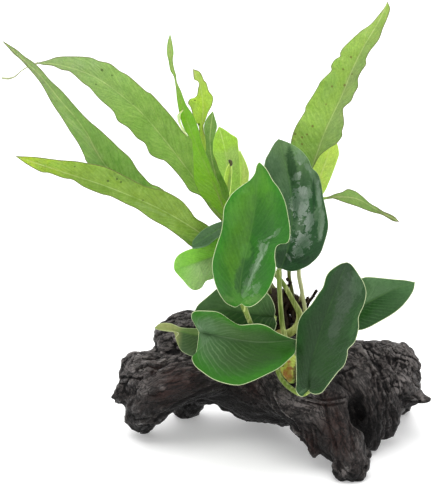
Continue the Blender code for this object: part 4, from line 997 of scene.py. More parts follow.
fernForm = dict(
    blisterHeight=0.00022, blisterSize=0.0026, swellHeight=0.0005, swellSize=0.009, flatByRib=0.25, waves=9.0,
    waveSeed=20, dulled=0.85,  # the patches' tone, as a share of the left half's
)
for number, (frondName, frond) in enumerate(fern.items()):
    own = frond["look"]
    dull = tuple(fernForm["dulled"] * value for value in own["left"])
    look = {**fernLook, "seed": 2.5 * number + 50, "patch": dull, "tip": own["right"], **own}

    def fernRelief(u, v, spot):
        blister = fernForm["blisterHeight"] * noise.noise(spot / fernForm["blisterSize"])
        swell = fernForm["swellHeight"] * noise.noise(spot / fernForm["swellSize"])
        wave = marginWave(number + fernForm["waveSeed"], u, v, frond["wave"], fernForm["waves"])
        return (blister + swell) * min(1.0, abs(u) / fernForm["flatByRib"]) + wave

    finish = leafFinish("fernFrond_" + frondName, frond, look)
    blade = leafSheet("fern_" + frondName, frond, sheetForm["fernCells"], sheetForm["fernThickness"], finish,
                      fernRelief)
    share, *rest = frond["stalk"]
    start = fernAxis[round(fernSteps * share)]
    way = [spotAt(*start[:3])] + [spotAt(*point) for point in rest]
    way[0] = way[0].lerp(way[1], fernStalk["outOfRhizome"] / (way[1] - way[0]).length)
    ribWay = [spotAt(across, down, back + fernStalk["sunk"]) for across, down, back in frond["rib"]]
    stalk = smoothPath([*way, *ribWay], fernStalk["points"])
    way.append(spotAt(*frond["rib"][0]))
    stalkLength = sum((second - first).length for first, second in zip(way, way[1:]))
    bladeShare = stalkLength / sum(math.dist(first, second) for first, second in zip(stalk, stalk[1:]))
    shares = np.linspace(0, 1, len(stalk))[:-1]
    radii = np.interp(shares, (0, bladeShare, 1),
                      [fernStalk[key] for key in ("footRadius", "bladeRadius", "tipRadius")])
    # the stalks of all but the pale-stalked fronds get the darker copy, painted shade
    bark = paleStalk if frondName in fernStalk["pale"] else paintedShadeStalk
    piece = joinMeshes("fern_" + frondName, [blade, stemMesh(stalk[:-1], radii, bark, sides=8)])
    standIn(piece, "fern_frond", "fern_frond_" + frondName)
print("fern fronds:", len(fern))

# Dry ends: a thread at one tip, a curled sliver on the twisted frond's edge, the spear's rolled tip
fernEnds = dict(
    fern_dry_thread=dict(
        way=((38, 63, 0.047), (31, 65.5, 0.047), (25.7, 68, 0.047), (20, 72, 0.0465), (15, 76.4, 0.046),
             (9, 78.5, 0.0455), (1.7, 78, 0.045)),
        radii=(0.0006, 0.00045, 0.00035, 0.00028, 0.0003, 0.0004, 0.0006, 0.00045),
        steps=40, sides=8, lumps=(0.0001, 0.004),
        finish=("dryFernEnd", (0.003, 2.4, 5.0), (178, 188, 140), (120, 122, 84)), plain={"Roughness": 0.6}),
    fern_curled_sliver=dict(
        way=((187.5, 136, 0.0032), (182, 128, 0.0025), (179, 120, 0.0022), (179.5, 114, 0.002),
             (183, 110, 0.0022)),
        radii=(0.0003, 0.0006, 0.0006, 0.0009, 0.0003), steps=30, sides=10, lumps=(0.0006, 0.002),
        finish=("paleFernEdge", (0.003, 2.4, 6.0), (206, 222, 160), (156, 192, 92)),
        plain={"Roughness": 0.5, "Subsurface Weight": 0.4, "Subsurface Scale": 0.001}),
    fern_rolled_tip=dict(
        way=((230.8, 166, 0.0158), (231, 163.5, 0.0155), (230, 161, 0.0152), (228.6, 160.6, 0.015)),
        radii=(0.0004, 0.0008, 0.001, 0.0005), steps=16, sides=10, lumps=(0.0003, 0.001),
        finish=("brownFernTip", (0.001, 2.4, 7.0), (44, 42, 20), (96, 92, 40)), plain={"Roughness": 0.5}),
)
for endName, end in fernEnds.items():
    way = smoothPath([spotAt(*point) for point in end["way"]], end["steps"])
    radii = np.interp(np.linspace(0, 1, len(way)), np.linspace(0, 1, len(end["radii"])), end["radii"])
    finish = mottled(*end["finish"], **end["plain"])
    piece = newPiece(endName, stemMesh(way, radii, finish, end["sides"], *end["lumps"]))
    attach(piece, "root")
print("fern ends:", len(fernEnds))


# Hairs and rhizomes

def buildHairTree():
    # it plants short bent hairs all over a surface
    tree, given, wanted = newGroup(
        "hairsOnSurface", "GeometryNodeTree",
        {"Geometry": "Geometry", "Per Square Metre": 400000.0, "Length": 0.002, "Thickness": 0.00008,
         "Seed": 5, "Finish": "Material"},
        {"Geometry": "Geometry"})
    planted = addNode(tree, "GeometryNodeDistributePointsOnFaces",
                      {"Mesh": given["Geometry"], "Density": given["Per Square Metre"],
                       "Seed": given["Seed"]})
    bent = addNode(tree, "GeometryNodeCurveQuadraticBezier", {"Resolution": 4, "Start": (0, 0, -0.05),
                                                              "Middle": (0.1, 0, 0.5),
                                                              "End": (0.5, 0.1, 0.9)})
    share = addNode(tree, "GeometryNodeSplineParameter").outputs["Factor"]
    thinning = calc(tree, "SUBTRACT", 1.05, share)
    thinned = addNode(tree, "GeometryNodeSetCurveRadius",
                      {"Curve": bent.outputs["Curve"], "Radius": thinning})
    width = calc(tree, "DIVIDE", given["Thickness"], given["Length"])
    ring = addNode(tree, "GeometryNodeCurvePrimitiveCircle", {"Resolution": 3, "Radius": width})
    hair = addNode(tree, "GeometryNodeCurveToMesh",
                   {"Curve": thinned.outputs["Curve"], "Profile Curve": ring.outputs["Curve"],
                    "Scale": addNode(tree, "GeometryNodeInputRadius").outputs["Radius"], "Fill Caps": True})
    turned = addNode(tree, "FunctionNodeRandomValue", {"Seed": given["Seed"]}, data_type="FLOAT_VECTOR")
    sendTo(tree, turned, {0: (-0.8, -0.8, -3.1), 1: (0.8, 0.8, 3.1)})
    size = addNode(tree, "FunctionNodeRandomValue", {"Seed": given["Seed"]}, data_type="FLOAT")
    sendTo(tree, size, {2: 0.5, 3: 1.3})
    grown = times(tree, size.outputs[1], given["Length"])
    facing = addNode(tree, "FunctionNodeRotateRotation", {"Rotation": planted.outputs["Rotation"],
                                                          "Rotate By": turned.outputs[0]},
                     rotation_space="LOCAL")
    placed = addNode(tree, "GeometryNodeInstanceOnPoints",
                     {"Points": planted.outputs["Points"], "Instance": hair.outputs["Mesh"],
                      "Rotation": facing.outputs["Rotation"], "Scale": grown})
    return endTree(tree, placed.outputs["Instances"], given["Finish"], wanted["Geometry"])


hairsOnSurface = buildHairTree()


def hairMesh(mesh, values):
    ground = newPiece("ground", mesh.copy())
    made = runTree(ground, hairsOnSurface, values)
    bpy.data.objects.remove(ground)
    return made


# The anubias rhizome: ringed, with a bud at its growing end
anubiasRhizome = dict(rings=15, ringDepth=0.00035, points=90)
creepFinish, creepTree, creepShader = newMaterial("anubiasRhizome",
                                                  **{"Roughness": 0.45, "Specular IOR Level": 0.2})
creepPatch = patchesAt(creepTree, 0.004, 2.6, 1.0)
creepAlong = attributeAt(creepTree, "along")
creepRusty = times(creepTree, rampTo(creepTree, creepAlong, 0.64, 0.7),
                   rampTo(creepTree, creepPatch, 0.35, 0.8))
creepColour = layered(
    creepTree, onScreen(150, 150, 76), (creepPatch, (112, 92, 48), None),
    (rampTo(creepTree, creepAlong, 0.35, 0.5), (168, 186, 76), None), (creepRusty, (140, 88, 38), None),
    (rampTo(creepTree, creepAlong, 0.93, 0.98), (120, 140, 60), None),
    (spotPatch(creepTree, (288, 373, -0.022), 6.5, 8), (138, 96, 40), 0.75),
    (spotPatch(creepTree, (296.5, 374, -0.021), 5, 13), (46, 44, 18), 0.85))
creepTree.links.new(creepColour, creepShader.inputs["Base Color"])
roughen(creepTree, creepShader, creepPatch, 0.5, 0.0004)
creepWay = smoothPath([(*spotAt(*ball[:3]), ball[3]) for ball in rhizomes["anubias"]],
                      anubiasRhizome["points"])
creepShare = np.linspace(0, 1, len(creepWay))
creepRings = np.abs(np.sin(creepShare * math.pi * anubiasRhizome["rings"])) ** 0.5 - 1
creepRadii = creepWay[:, 3] + anubiasRhizome["ringDepth"] * creepRings
creeper = stemMesh(creepWay[:, :3], creepRadii, creepFinish, sides=28, lumpHeight=0.0009, lumpSize=0.003)
standIn(newPiece("anubias_rhizome_ringed", creeper), "anubias_rhizome", "anubias_rhizome")

# The fern's rhizome and its bare root: dark, and furred with brown hairs
fernRhizome = dict(points=80, rootPoints=24, rootRadius=0.0008,
                   hairs={"Per Square Metre": 900000.0, "Length": 0.0018, "Thickness": 0.00009, "Seed": 5},
                   roots=(((303, 318, 0.022), (308, 304, 0.019), (312.5, 297, 0.016), (316.5, 290.5, 0.0145)),
                          ((288, 302, 0.024), (285, 312, 0.019), (287, 324, 0.014), (284, 338, 0.01)),
                          ((282, 300, 0.025), (279, 311, 0.021), (280, 323, 0.016), (277, 336, 0.012)),
                          ((295, 306, 0.024), (293, 316, 0.019), (296, 327, 0.013), (292, 339, 0.009)),
                          ((292, 304, 0.026), (299, 314, 0.021), (302, 324, 0.015), (299, 336, 0.011)),
                          ((291, 303, 0.027), (288, 313, 0.024), (289, 325, 0.019), (286, 337, 0.013)),
                          ((286, 301, 0.028), (283, 311, 0.025), (284, 324, 0.019), (281, 336, 0.014)),
                          ((284, 299, 0.026), (286, 290, 0.023), (290, 283, 0.02), (287, 279, 0.018)),
                          ((296, 307, 0.021), (300, 303, 0.018), (305, 302, 0.015), (308, 298, 0.013))))
barkPlain = {"Specular IOR Level": 0.15}
barkFinish = mottled("fernRhizome", (0.003, 2.5, 8.0), (24, 19, 15), (52, 42, 30), (0.6, 0.0005),
                     Roughness=0.8, **barkPlain)
hairFinish = mottled("fernHairs", (0.002, 2.0, 3.0), (40, 28, 19), (84, 62, 40), Roughness=0.7, **barkPlain)
furWay = smoothPath([(*spotAt(*ball[:3]), ball[3]) for ball in rhizomes["fern"]], fernRhizome["points"])
fur = stemMesh(furWay[:, :3], furWay[:, 3], barkFinish, sides=24, lumpHeight=0.0015, lumpSize=0.004)
roots = []
for rootPath in fernRhizome["roots"]:
    rootWay = smoothPath([spotAt(*point) for point in rootPath], fernRhizome["rootPoints"])
    rootRadii = [fernRhizome["rootRadius"]] * len(rootWay)
    roots.append(stemMesh(rootWay, rootRadii, barkFinish, sides=10, lumpHeight=0.0004, lumpSize=0.002))
hairs = [hairMesh(mesh, {**fernRhizome["hairs"], "Finish": hairFinish}) for mesh in (fur, *roots)]
standIn(joinMeshes("fern_rhizome_haired", [fur, *roots, *hairs]), "fern_rhizome", "fern_rhizome")
print("rhizomes done")


# Driftwood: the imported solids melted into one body, then carved along its grain
driftwood = dict(
    nodes=("driftwood_trunk", "driftwood_left_root", "driftwood_front_leg", "driftwood_burl"),
    swell=0.00025, voxel=0.00067, grainReach=0.009, grainTurn=1.5, turnSize=0.016,
    neighbours=18, along=0.0013, across=0.00036,
    wideRuns=40, wideHeight=0.00052, fineRuns=9, fineHeight=0.00016, crackWidth=0.24, crackDepth=0.0015,
    squeeze=0.13, roughHeight=0.00075, roughSize=0.008, cragSize=0.0034, cragHeight=0.0011, cragWarp=0.0025,
    cragSeed=5, cragElsewhere=0.25, drawSeed=11, wideSteepness=1.5, gapSize=0.012, gapLevel=0.45,
    gapSlope=1.6, strokeReach=2.6, strokeStep=1.2, smoothShare=0.6, nearby=0.0011, levelRuns=5,
    levelShare=0.75, reliefRange=0.0017,
)
# lobes melted on: pixels across, pixels down, metres back and the radius in metres
woodLobes = (
    (411.5, 364, 0.0085, 0.0046), (415, 376, 0.008, 0.0034), (428.5, 400, 0.005, 0.0017),
    (409, 355, 0.011, 0.0032), (403.5, 348, 0.012, 0.0026), (125.5, 363, 0.0125, 0.0024),
    (122, 378, 0.0105, 0.002), (337, 468, -0.043, 0.0036), (342, 472, -0.044, 0.0042),
    (358, 474, -0.043, 0.004), (362, 464, -0.04, 0.0038), (306, 434, -0.024, 0.0024),
    (309, 442, -0.027, 0.0019), (312, 449, -0.03, 0.0013), (314, 455, -0.032, 0.0008),
    (116, 396, 0.011, 0.0022), (112.5, 397, 0.011, 0.0012), (367, 446, -0.01, 0.003),
    (364, 455, -0.022, 0.0032), (361, 463, -0.032, 0.0034),
)
# where the grain runs: pixels across, pixels down and metres back
grainRuns = (
    ((179, 341, 0.02), (199, 339, 0.022), (232, 346, 0.021), (262, 356, 0.016), (292, 366, 0.01),
     (330, 372, 0.004), (370, 364, 0.007)),
    ((150, 374, 0.012), (184, 372, 0.015), (208, 368, 0.02), (238, 373, 0.019), (262, 382, 0.015),
     (286, 386, 0.005), (312, 384, 0.002), (345, 371, 0.004)),
    ((168, 372, 0.012), (143, 373, 0.011), (131, 391, 0.011), (121, 397, 0.011)),
    ((212, 374, 0.006), (182, 380, 0.003), (161, 391, 0.002), (148, 405, 0.004), (142, 418, 0.007),
     (145, 427, 0.009)),
    ((190, 384, 0.026), (187, 405, 0.03), (187, 415, 0.031)),
    ((240, 386, 0.022), (254, 402, 0.022), (271, 405, 0.017), (288, 408, 0.006)),
    ((288, 386, -0.003), (298, 395, -0.013), (320, 402, -0.01), (333, 428, -0.022), (345, 446, -0.032),
     (350, 462, -0.04), (353, 472, -0.044)),
    ((346, 388, -0.004), (362, 414, -0.008), (371, 438, -0.012)),
    ((378, 392, 0.0), (385, 414, -0.001), (385, 429, -0.001)),
    ((360, 350, 0.005), (376, 366, 0.007), (392, 380, 0.009), (402, 396, 0.009), (413, 398, 0.008),
     (429, 400, 0.006)),
    ((394, 386, 0.02), (398, 403, 0.034)),
    ((306, 425, -0.017), (311, 442, -0.026), (314, 453, -0.031)),
)
# carved strokes, given one by one: half width and height in millimetres, then the way in pixels
woodStrokes = (
    (0.7, -0.8, (157, 329), (170, 322), (185, 318), (197, 317)),
    (0.7, -0.9, (156, 336), (170, 330), (186, 327), (200, 326)),
    (0.7, -0.8, (160, 343), (172, 338), (188, 335), (202, 335)),
    (0.6, -0.6, (163, 321), (176, 315), (190, 311)), (0.7, 0.6, (160, 332), (175, 326), (192, 322)),
    (1.3, -1.3, (153, 330), (154, 340), (156, 350)),
    (0.7, 0.6, (138, 366), (146, 362), (154, 365), (165, 361)),
    (0.6, -0.7, (139, 369), (148, 366), (156, 368), (168, 364)),
    (0.7, 0.5, (140, 372), (150, 369), (160, 371), (170, 368)),
    (0.8, -1.5, (120, 377), (130, 378), (141, 379)), (0.7, 0.7, (160, 381), (168, 380), (177, 377)),
    (1.4, 0.7, (161, 387), (163, 387)),
    (1.0, -1.3, (155, 420), (170, 409), (185, 400), (200, 392), (215, 385)),
    (0.6, 0.6, (135, 424), (143, 422), (150, 418)), (0.6, 0.6, (242, 388), (252, 395), (262, 400)),
    (0.7, -0.7, (244, 384), (254, 390), (264, 396)),
    (0.6, 0.8, (269, 390), (271, 400), (277, 412), (288, 421), (296, 430), (302, 443)),
    (0.6, -0.9, (272, 390), (274, 400), (280, 411), (291, 420), (299, 430), (304, 441)),
    (0.6, 0.8, (275, 389), (277, 399), (283, 410), (294, 420), (301, 430)),
    (0.6, -0.9, (305, 430), (308, 448)), (0.6, -0.9, (310, 428), (313, 450)),
    (0.6, -0.8, (315, 430), (317, 448)), (0.6, -0.8, (308, 397), (325, 400), (345, 397)),
    (0.6, -0.8, (308, 402), (325, 405), (343, 403)), (0.6, 0.5, (308, 399.5), (325, 402.5), (344, 400)),
    (0.9, -1.1, (325, 405), (329, 425), (336, 448)), (0.8, -1.0, (350, 402), (350, 425), (354, 450)),
    (0.6, -0.5, (336, 408), (341, 430), (347, 455)),
    (0.6, 0.9, (360, 345), (368, 360), (378, 375), (385, 395), (397, 410), (398, 420)),
    (0.6, 0.7, (375, 343), (384, 352), (388, 366), (398, 378), (402, 392)),
    (0.5, 0.6, (395, 345), (400, 360), (396, 374), (404, 388)),
    (0.5, 0.6, (365, 350), (372, 366), (369, 380), (374, 394)),
    (0.5, 0.7, (386, 345), (392, 360), (388, 378), (393, 392), (402, 402)),
    (0.5, 0.6, (406, 352), (409, 368), (412, 384)),
    (0.6, -0.9, (364, 345), (371, 358), (381, 372), (389, 392)),
    (0.6, -0.8, (380, 346), (387, 356), (394, 372)), (0.9, -1.2, (380, 366), (382, 368)),
    (1.0, -1.2, (392, 384), (393, 386)), (0.9, -1.1, (372, 373), (373, 375)),
    (0.9, -1.1, (402, 366), (403, 368)), (0.9, -1.1, (384, 387), (385, 389)),
    (1.0, -1.0, (400, 396), (402, 398)), (2.6, 0.9, (398, 346), (402, 346)),
    (0.5, 0.5, (414, 398), (422, 400), (430, 399)), (0.5, -0.5, (414, 401), (422, 402)),
    (0.6, 0.6, (400, 416), (405, 412), (410, 408)), (0.7, -1.1, (370, 405), (371, 422), (371, 440)),
    (0.6, -0.9, (378, 402), (379, 420), (379, 444)), (0.6, -0.9, (386, 402), (387, 420), (387, 438)),
    (0.6, -0.8, (392, 405), (393, 418), (393, 430)), (0.5, 0.6, (375, 375), (377, 392), (378, 412)),
    (2.2, -2.4, (384, 435), (382, 446)), (4.6, -5.5, (356, 406), (360, 420), (364, 434)),
    (3.0, -2.5, (357, 408), (361, 420), (364, 430)), (0.6, 0.6, (333, 466), (339, 473), (345, 478)),
    (0.7, -0.8, (338, 462), (344, 469), (350, 475)),
    (0.6, -0.8, (300, 372), (318, 376), (338, 374), (356, 366)),
    (0.6, 0.6, (298, 378), (316, 382), (336, 380)), (0.7, -0.9, (196, 360), (212, 354), (228, 352)),
    (0.6, -0.8, (168, 352), (184, 350), (200, 352), (214, 358)),
    (0.6, -0.7, (176, 360), (192, 366), (210, 372)), (0.6, 0.6, (172, 356), (190, 360), (206, 366)),
)
# patches of another tone: pixels across and down, reach in millimetres. The dark ones are painted shade, most
# of all under the belly; the pale ones are partly grey scuffs and partly painted light on the lump and the
# burl
cragPatches = ((390, 366, 15), (372, 352, 9), (402, 392, 10), (140, 365, 13), (178, 330, 13), (122, 392, 8),
               (342, 470, 9), (385, 418, 9), (140, 392, 8))
redPatches = ((309, 449, 4), (155, 368, 5), (172, 378, 8), (186, 386, 8), (164, 396, 6), (311, 442, 5),
              (325, 400, 6), (334, 420, 7), (340, 440, 7), (357, 420, 4), (252, 390, 6), (190, 374, 5))
smoothPatches = ((170, 386, 11), (184, 396, 9), (152, 402, 7), (176, 372, 7), (336, 424, 12), (330, 408, 8),
                 (342, 448, 9), (360, 376, 6), (225, 402, 12), (352, 386, 6))
# painted shade
paintedShadePatches = ((225, 402, 15), (250, 408, 10), (200, 398, 8), (190, 410, 8), (357, 418, 9), (378, 428, 9),
               (366, 440, 6), (330, 382, 6), (300, 385, 6), (352, 478, 3))
paleAndPaintedLightPatches = ((140, 354, 12), (137, 366, 12), (152, 350, 8), (176, 333, 9), (407, 376, 10), (402, 352, 8),
               (320, 412, 5), (308, 399, 9), (128, 362, 6), (162, 387, 2), (146, 390, 3), (360, 376, 4.5),
               (400, 346, 4), (406, 411, 3), (401, 384, 7), (372, 354, 4), (308, 400, 6), (424, 400, 4),
               (345, 471, 3), (311, 399, 7))


def meltedSolids(name, nodes):
    # one closed mesh of several solids that nearly touch
    melted = bmesh.new()
    for node in nodes:
        solid = bmesh.new()
        solid.from_mesh(bpy.data.objects[node].data)
        bmesh.ops.remove_doubles(solid, verts=solid.verts, dist=0.00001)
        solid.normal_update()
        for vertex in solid.verts:
            vertex.co += vertex.normal * driftwood["swell"]
        mesh = bpy.data.meshes.new(node)
        solid.to_mesh(mesh)
        melted.from_mesh(mesh)
        solid.free()
    for across, down, back, radius in woodLobes:
        place = Matrix.Translation(spotAt(across, down, back)) @ Matrix.Diagonal((1, 1, 1.25, 1))
        bmesh.ops.create_icosphere(melted, subdivisions=2, radius=radius, matrix=place)
    mesh = bpy.data.meshes.new(name)
    melted.to_mesh(mesh)
    melted.free()
    body = newPiece(name, mesh)
    remesh = body.modifiers.new("Melt", "REMESH")
    remesh.mode = "VOXEL"
    remesh.voxel_size = driftwood["voxel"]
    smooth = body.modifiers.new("Smooth", "SMOOTH")
    smooth.iterations = 3
    made = meshFrom(body)
    bpy.data.objects.remove(body)
    return made


def vertexArray(mesh, key):
    values = np.empty(len(mesh.vertices) * 3, np.float32)
    mesh.vertices.foreach_get(key, values)
    return values.reshape(-1, 3).astype(float)


def grainDirections(points, normals):
    # the way of the nearest runs, turned a little here and there, flat on the surface
    tensor = np.zeros((len(points), 3, 3))
    for run in grainRuns:
        line = smoothPath([spotAt(*point) for point in run], 26)
        for start, finish in zip(line, line[1:]):
            way = (finish - start) / np.linalg.norm(finish - start)
            away = ((points - (start + finish) / 2) ** 2).sum(1)
            share = np.exp(-away / (2 * driftwood["grainReach"] ** 2))
            tensor += share[:, None, None] * np.outer(way, way)
    way = np.linalg.eigh(tensor)[1][:, :, 2]
    way -= normals * (way * normals).sum(1)[:, None]
    way /= np.linalg.norm(way, axis=1)[:, None] + 1e-9
    turn = np.array([noise.noise(Vector(point) / driftwood["turnSize"]) for point in points])
    turn *= driftwood["grainTurn"]
    return way * np.cos(turn)[:, None] + np.cross(normals, way) * np.sin(turn)[:, None]


def grainPlaces(points):
    # coordinates for the fibres: squeezed along the nearest run, true across it
    nearest = np.full(len(points), 1e9)
    places = np.zeros((len(points), 3))
    for number, run in enumerate(grainRuns):
        line = smoothPath([spotAt(*point) for point in run], 20)
        walked = 0.0
        for start, finish in zip(line, line[1:]):
            length = np.linalg.norm(finish - start)
            way = (finish - start) / length
            share = (points - start) @ way
            foot = start + np.clip(share, 0, length)[:, None] * way
            away = ((points - foot) ** 2).sum(1)
            closer = away < nearest
            sideways = np.cross(way, (0.2, 0.3, 0.93))
            sideways /= np.linalg.norm(sideways)
            local = np.stack([(walked + share) * driftwood["squeeze"], (points - start) @ sideways,
                              (points - start) @ np.cross(way, sideways)], axis=1)
            places[closer] = local[closer] + 0.05 * number
            nearest[closer] = away[closer]
            walked += length
    return places


def pairsNear(points, count):
    tree = kdtree.KDTree(len(points))
    for index, point in enumerate(points):
        tree.insert(point, index)
    tree.balance()
    near = np.array([[found[1] for found in tree.find_n(point, count)] for point in points])
    return tree, np.repeat(np.arange(len(points)), count), near.reshape(-1)


def combed(values, own, other, share, total, runs):
    # values drawn out along the grain
    for _ in range(runs):
        values = np.bincount(own, share * values[other]) / total
    return (values - values.mean()) / values.std()


def spotOnWood(surface, across, down):
    return surface.ray_cast(eye, rayAt(across, down).normalized())[0]


def carve(points, tree, surface):
    # the listed strokes, as a height for each point
    height = np.zeros(len(points))
    for wide, high, *way in woodStrokes:
        wide, high = wide / 1000, high / 1000
        reached = {}
        length = sum(math.dist(start, finish) for start, finish in zip(way, way[1:]))
        steps = max(4, int(length * driftwood["strokeStep"]))
        for across, down in smoothPath(way, steps).tolist():
            hit = spotOnWood(surface, across, down)
            if hit is None:
                continue
            for _, index, away in tree.find_range(hit, wide * driftwood["strokeReach"]):
                reached[index] = min(away, reached.get(index, 1.0))
        for index, away in reached.items():
            height[index] += high * math.exp(-(away / wide) ** 2)
    return height


def patchShare(points, surface, patches):
    share = np.zeros(len(points))
    for across, down, reach in patches:
        hit = spotOnWood(surface, across, down)
        if hit is not None:
            away = ((points - np.array(hit)) ** 2).sum(1)
            share = np.maximum(share, np.exp(-away / (reach / 1000) ** 2))
    return share


def cragAt(point):
    # a net of wiry ridges with pits between them, from about -0.5 to 0.5
    bent = point / driftwood["cragSize"] + noise.noise_vector(point / driftwood["cragWarp"]) * 0.5
    return noise.ridged_multi_fractal(bent, 0.9, 2.1, 3, 1.0, 2.0) * 0.6 - 0.75


def carvedWood():
    noise.seed_set(driftwood["cragSeed"])  # without it the ridges differ in each run
    wood = meltedSolids("driftwood", driftwood["nodes"])
    points, normals = vertexArray(wood, "co"), vertexArray(wood, "normal")
    way = grainDirections(points, normals)
    tree, own, other = pairsNear(points, driftwood["neighbours"])
    between = points[other] - points[own]
    along = (between * way[own]).sum(1)
    across = np.sqrt(np.maximum((between ** 2).sum(1) - along ** 2, 0))
    share = np.exp(-(along / driftwood["along"]) ** 2 - (across / driftwood["across"]) ** 2)
    total = np.bincount(own, share)
    draw = np.random.default_rng(driftwood["drawSeed"])
    wide, fine, lines = [combed(draw.normal(size=len(points)), own, other, share, total, driftwood[runs])
                         for runs in ("wideRuns", "fineRuns", "wideRuns")]
    crack = np.clip(1 - np.abs(lines) / driftwood["crackWidth"], 0, 1)
    apart = Vector((4, 4, 4))
    depth = np.array([noise.noise(Vector(point) / driftwood["gapSize"] + apart) for point in points])
    crack *= np.clip(driftwood["gapLevel"] + driftwood["gapSlope"] * depth, 0, 1)
    rough = np.array([noise.fractal(Vector(point) / driftwood["roughSize"], 0.6, 2.2, 5) for point in points])
    surface = BVHTree.FromPolygons([tuple(point) for point in points],
                                   [tuple(face.vertices) for face in wood.polygons])
    elsewhere = driftwood["cragElsewhere"]
    cragShare = elsewhere + (1 - elsewhere) * patchShare(points, surface, cragPatches)
    crag = np.array([cragAt(Vector(point)) for point in points]) * cragShare
    height = (driftwood["wideHeight"] * np.tanh(driftwood["wideSteepness"] * wide)
              + driftwood["fineHeight"] * fine - driftwood["crackDepth"] * crack
              + driftwood["roughHeight"] * rough + driftwood["cragHeight"] * crag)
    height *= 1 - driftwood["smoothShare"] * patchShare(points, surface, smoothPatches)
    height += carve(points, tree, surface)
    near = np.exp(-(between ** 2).sum(1) / driftwood["nearby"] ** 2)
    level, nearTotal = height, np.bincount(own, near)
    for _ in range(driftwood["levelRuns"]):
        level = np.bincount(own, near * level[other]) / nearTotal
    relief = height - driftwood["levelShare"] * level
    grounded = np.clip(points[:, 2] / 0.002, 0, 1)
    points = points + normals * (height * grounded)[:, None]
    points[:, 2] = np.maximum(points[:, 2], 0.0)
    wood.vertices.foreach_set("co", points.astype(np.float32).reshape(-1))
    wood.update()
    masks = dict(height=np.clip(0.5 + relief / driftwood["reliefRange"], 0, 1),
                 streak=np.clip(0.5 + fine / 5, 0, 1),
                 red=patchShare(points, surface, redPatches),
                 pale=patchShare(points, surface, paleAndPaintedLightPatches),
                 dark=patchShare(points, surface, paintedShadePatches),
                 smooth=patchShare(points, surface, smoothPatches),
                 # upward: the tops, where light is painted
                 upward=np.clip(1.3 * normals[:, 2] - 0.15, 0, 1),
                 # under: the undersides, where shade is painted
                 under=np.clip(0.2 - 1.2 * normals[:, 2], 0, 1))
    for label, values in masks.items():
        stored = wood.attributes.new(label, "FLOAT", "POINT")
        stored.data.foreach_set("value", values.astype(np.float32))
    places = wood.attributes.new("grainPlace", "FLOAT_VECTOR", "POINT")
    places.data.foreach_set("vector", grainPlaces(points).astype(np.float32).reshape(-1))
    wood.shade_smooth()
    return wood


wood = carvedWood()
print("driftwood triangles:", sum(len(face.vertices) - 2 for face in wood.polygons))


# tones as a screen shows them, from the deepest cracks to the highest crests; the low tone left in the
# hollows is painted shade, upward is painted light, under and dark are painted shade, pale is partly painted
# light, crests are painted glints
woodLook = dict(
    low=(7, 6, 6), middle=(46, 38, 36), high=(106, 98, 94), upward=(134, 127, 124), pale=(150, 143, 140),
    brown=(52, 40, 37), pores=(16, 14, 14), fibres=(140, 132, 128), furrows=(10, 9, 9), smooth=(40, 32, 30),
    red=(62, 37, 32), splits=(5, 5, 5), under=(8, 8, 8), dark=(8, 7, 7), crests=(158, 152, 148),
)
woodFinish, woodTree, woodShader = newMaterial("driftwood",
                                               **{"Specular IOR Level": 0.28, "Coat Roughness": 0.14})
woodHeight, woodStreak, woodPaleAndPaintedLight, woodPaintedShade = [
    attributeAt(woodTree, label) for label in ("height", "streak", "pale", "dark")]
woodPaintedTopLight, woodPaintedUnderShade, woodRed, woodSmooth = [
    attributeAt(woodTree, label) for label in ("upward", "under", "red", "smooth")]
woodPatch = patchesAt(woodTree, 0.012, 2.2, 8.0)
woodFine = patchesAt(woodTree, 0.0012, 2.0, 6.0)
woodPlace = addNode(woodTree, "ShaderNodeAttribute", attribute_name="grainPlace").outputs["Vector"]
woodFibre = noiseAt(woodTree, woodPlace, 1 / 0.0011, 5.0, 0.72, 0.35)


def splitLines(size, detail, roughness, middle, start, finish):
    # thin lines along the grain, where a noise passes its middle
    spread = noiseAt(woodTree, woodPlace, 1 / size, detail, roughness)
    away = calc(woodTree, "ABSOLUTE", calc(woodTree, "SUBTRACT", spread, middle))
    return opposite(woodTree, rampTo(woodTree, away, start, finish))


woodSplit = splitLines(0.0032, 3.0, 0.6, 0.5, 0.006, 0.06)
woodHair = times(woodTree, splitLines(0.0015, 2.0, 0.5, 0.52, 0.0, 0.045),
                 rampTo(woodTree, woodPatch, 0.2, 0.6))
woodSplit = calc(woodTree, "MAXIMUM", woodSplit, times(woodTree, woodHair, 0.8))
# lighter on the raised grain
raisedGrainShare = times(woodTree, rampTo(woodTree, woodHeight, 0.45, 0.85),
                  calc(woodTree, "MULTIPLY_ADD", woodStreak, 0.7, 0.2))
# painted light: the tops lighter, as if lit from above
paintedTopLight = times(woodTree, woodPaintedTopLight, rampTo(woodTree, woodHeight, 0.3, 0.6))
# pale patches: partly grey scuffs, partly painted light
paleAndPaintedLightShare = times(woodTree, woodPaleAndPaintedLight, rampTo(woodTree, woodHeight, 0.25, 0.5))
# painted glints: the highest crests lightened, less in the painted shade
paintedGlintShare = times(woodTree, rampTo(woodTree, woodHeight, 0.78, 1.0),
                   calc(woodTree, "MULTIPLY_ADD", woodPaintedShade, -0.4, 0.5))
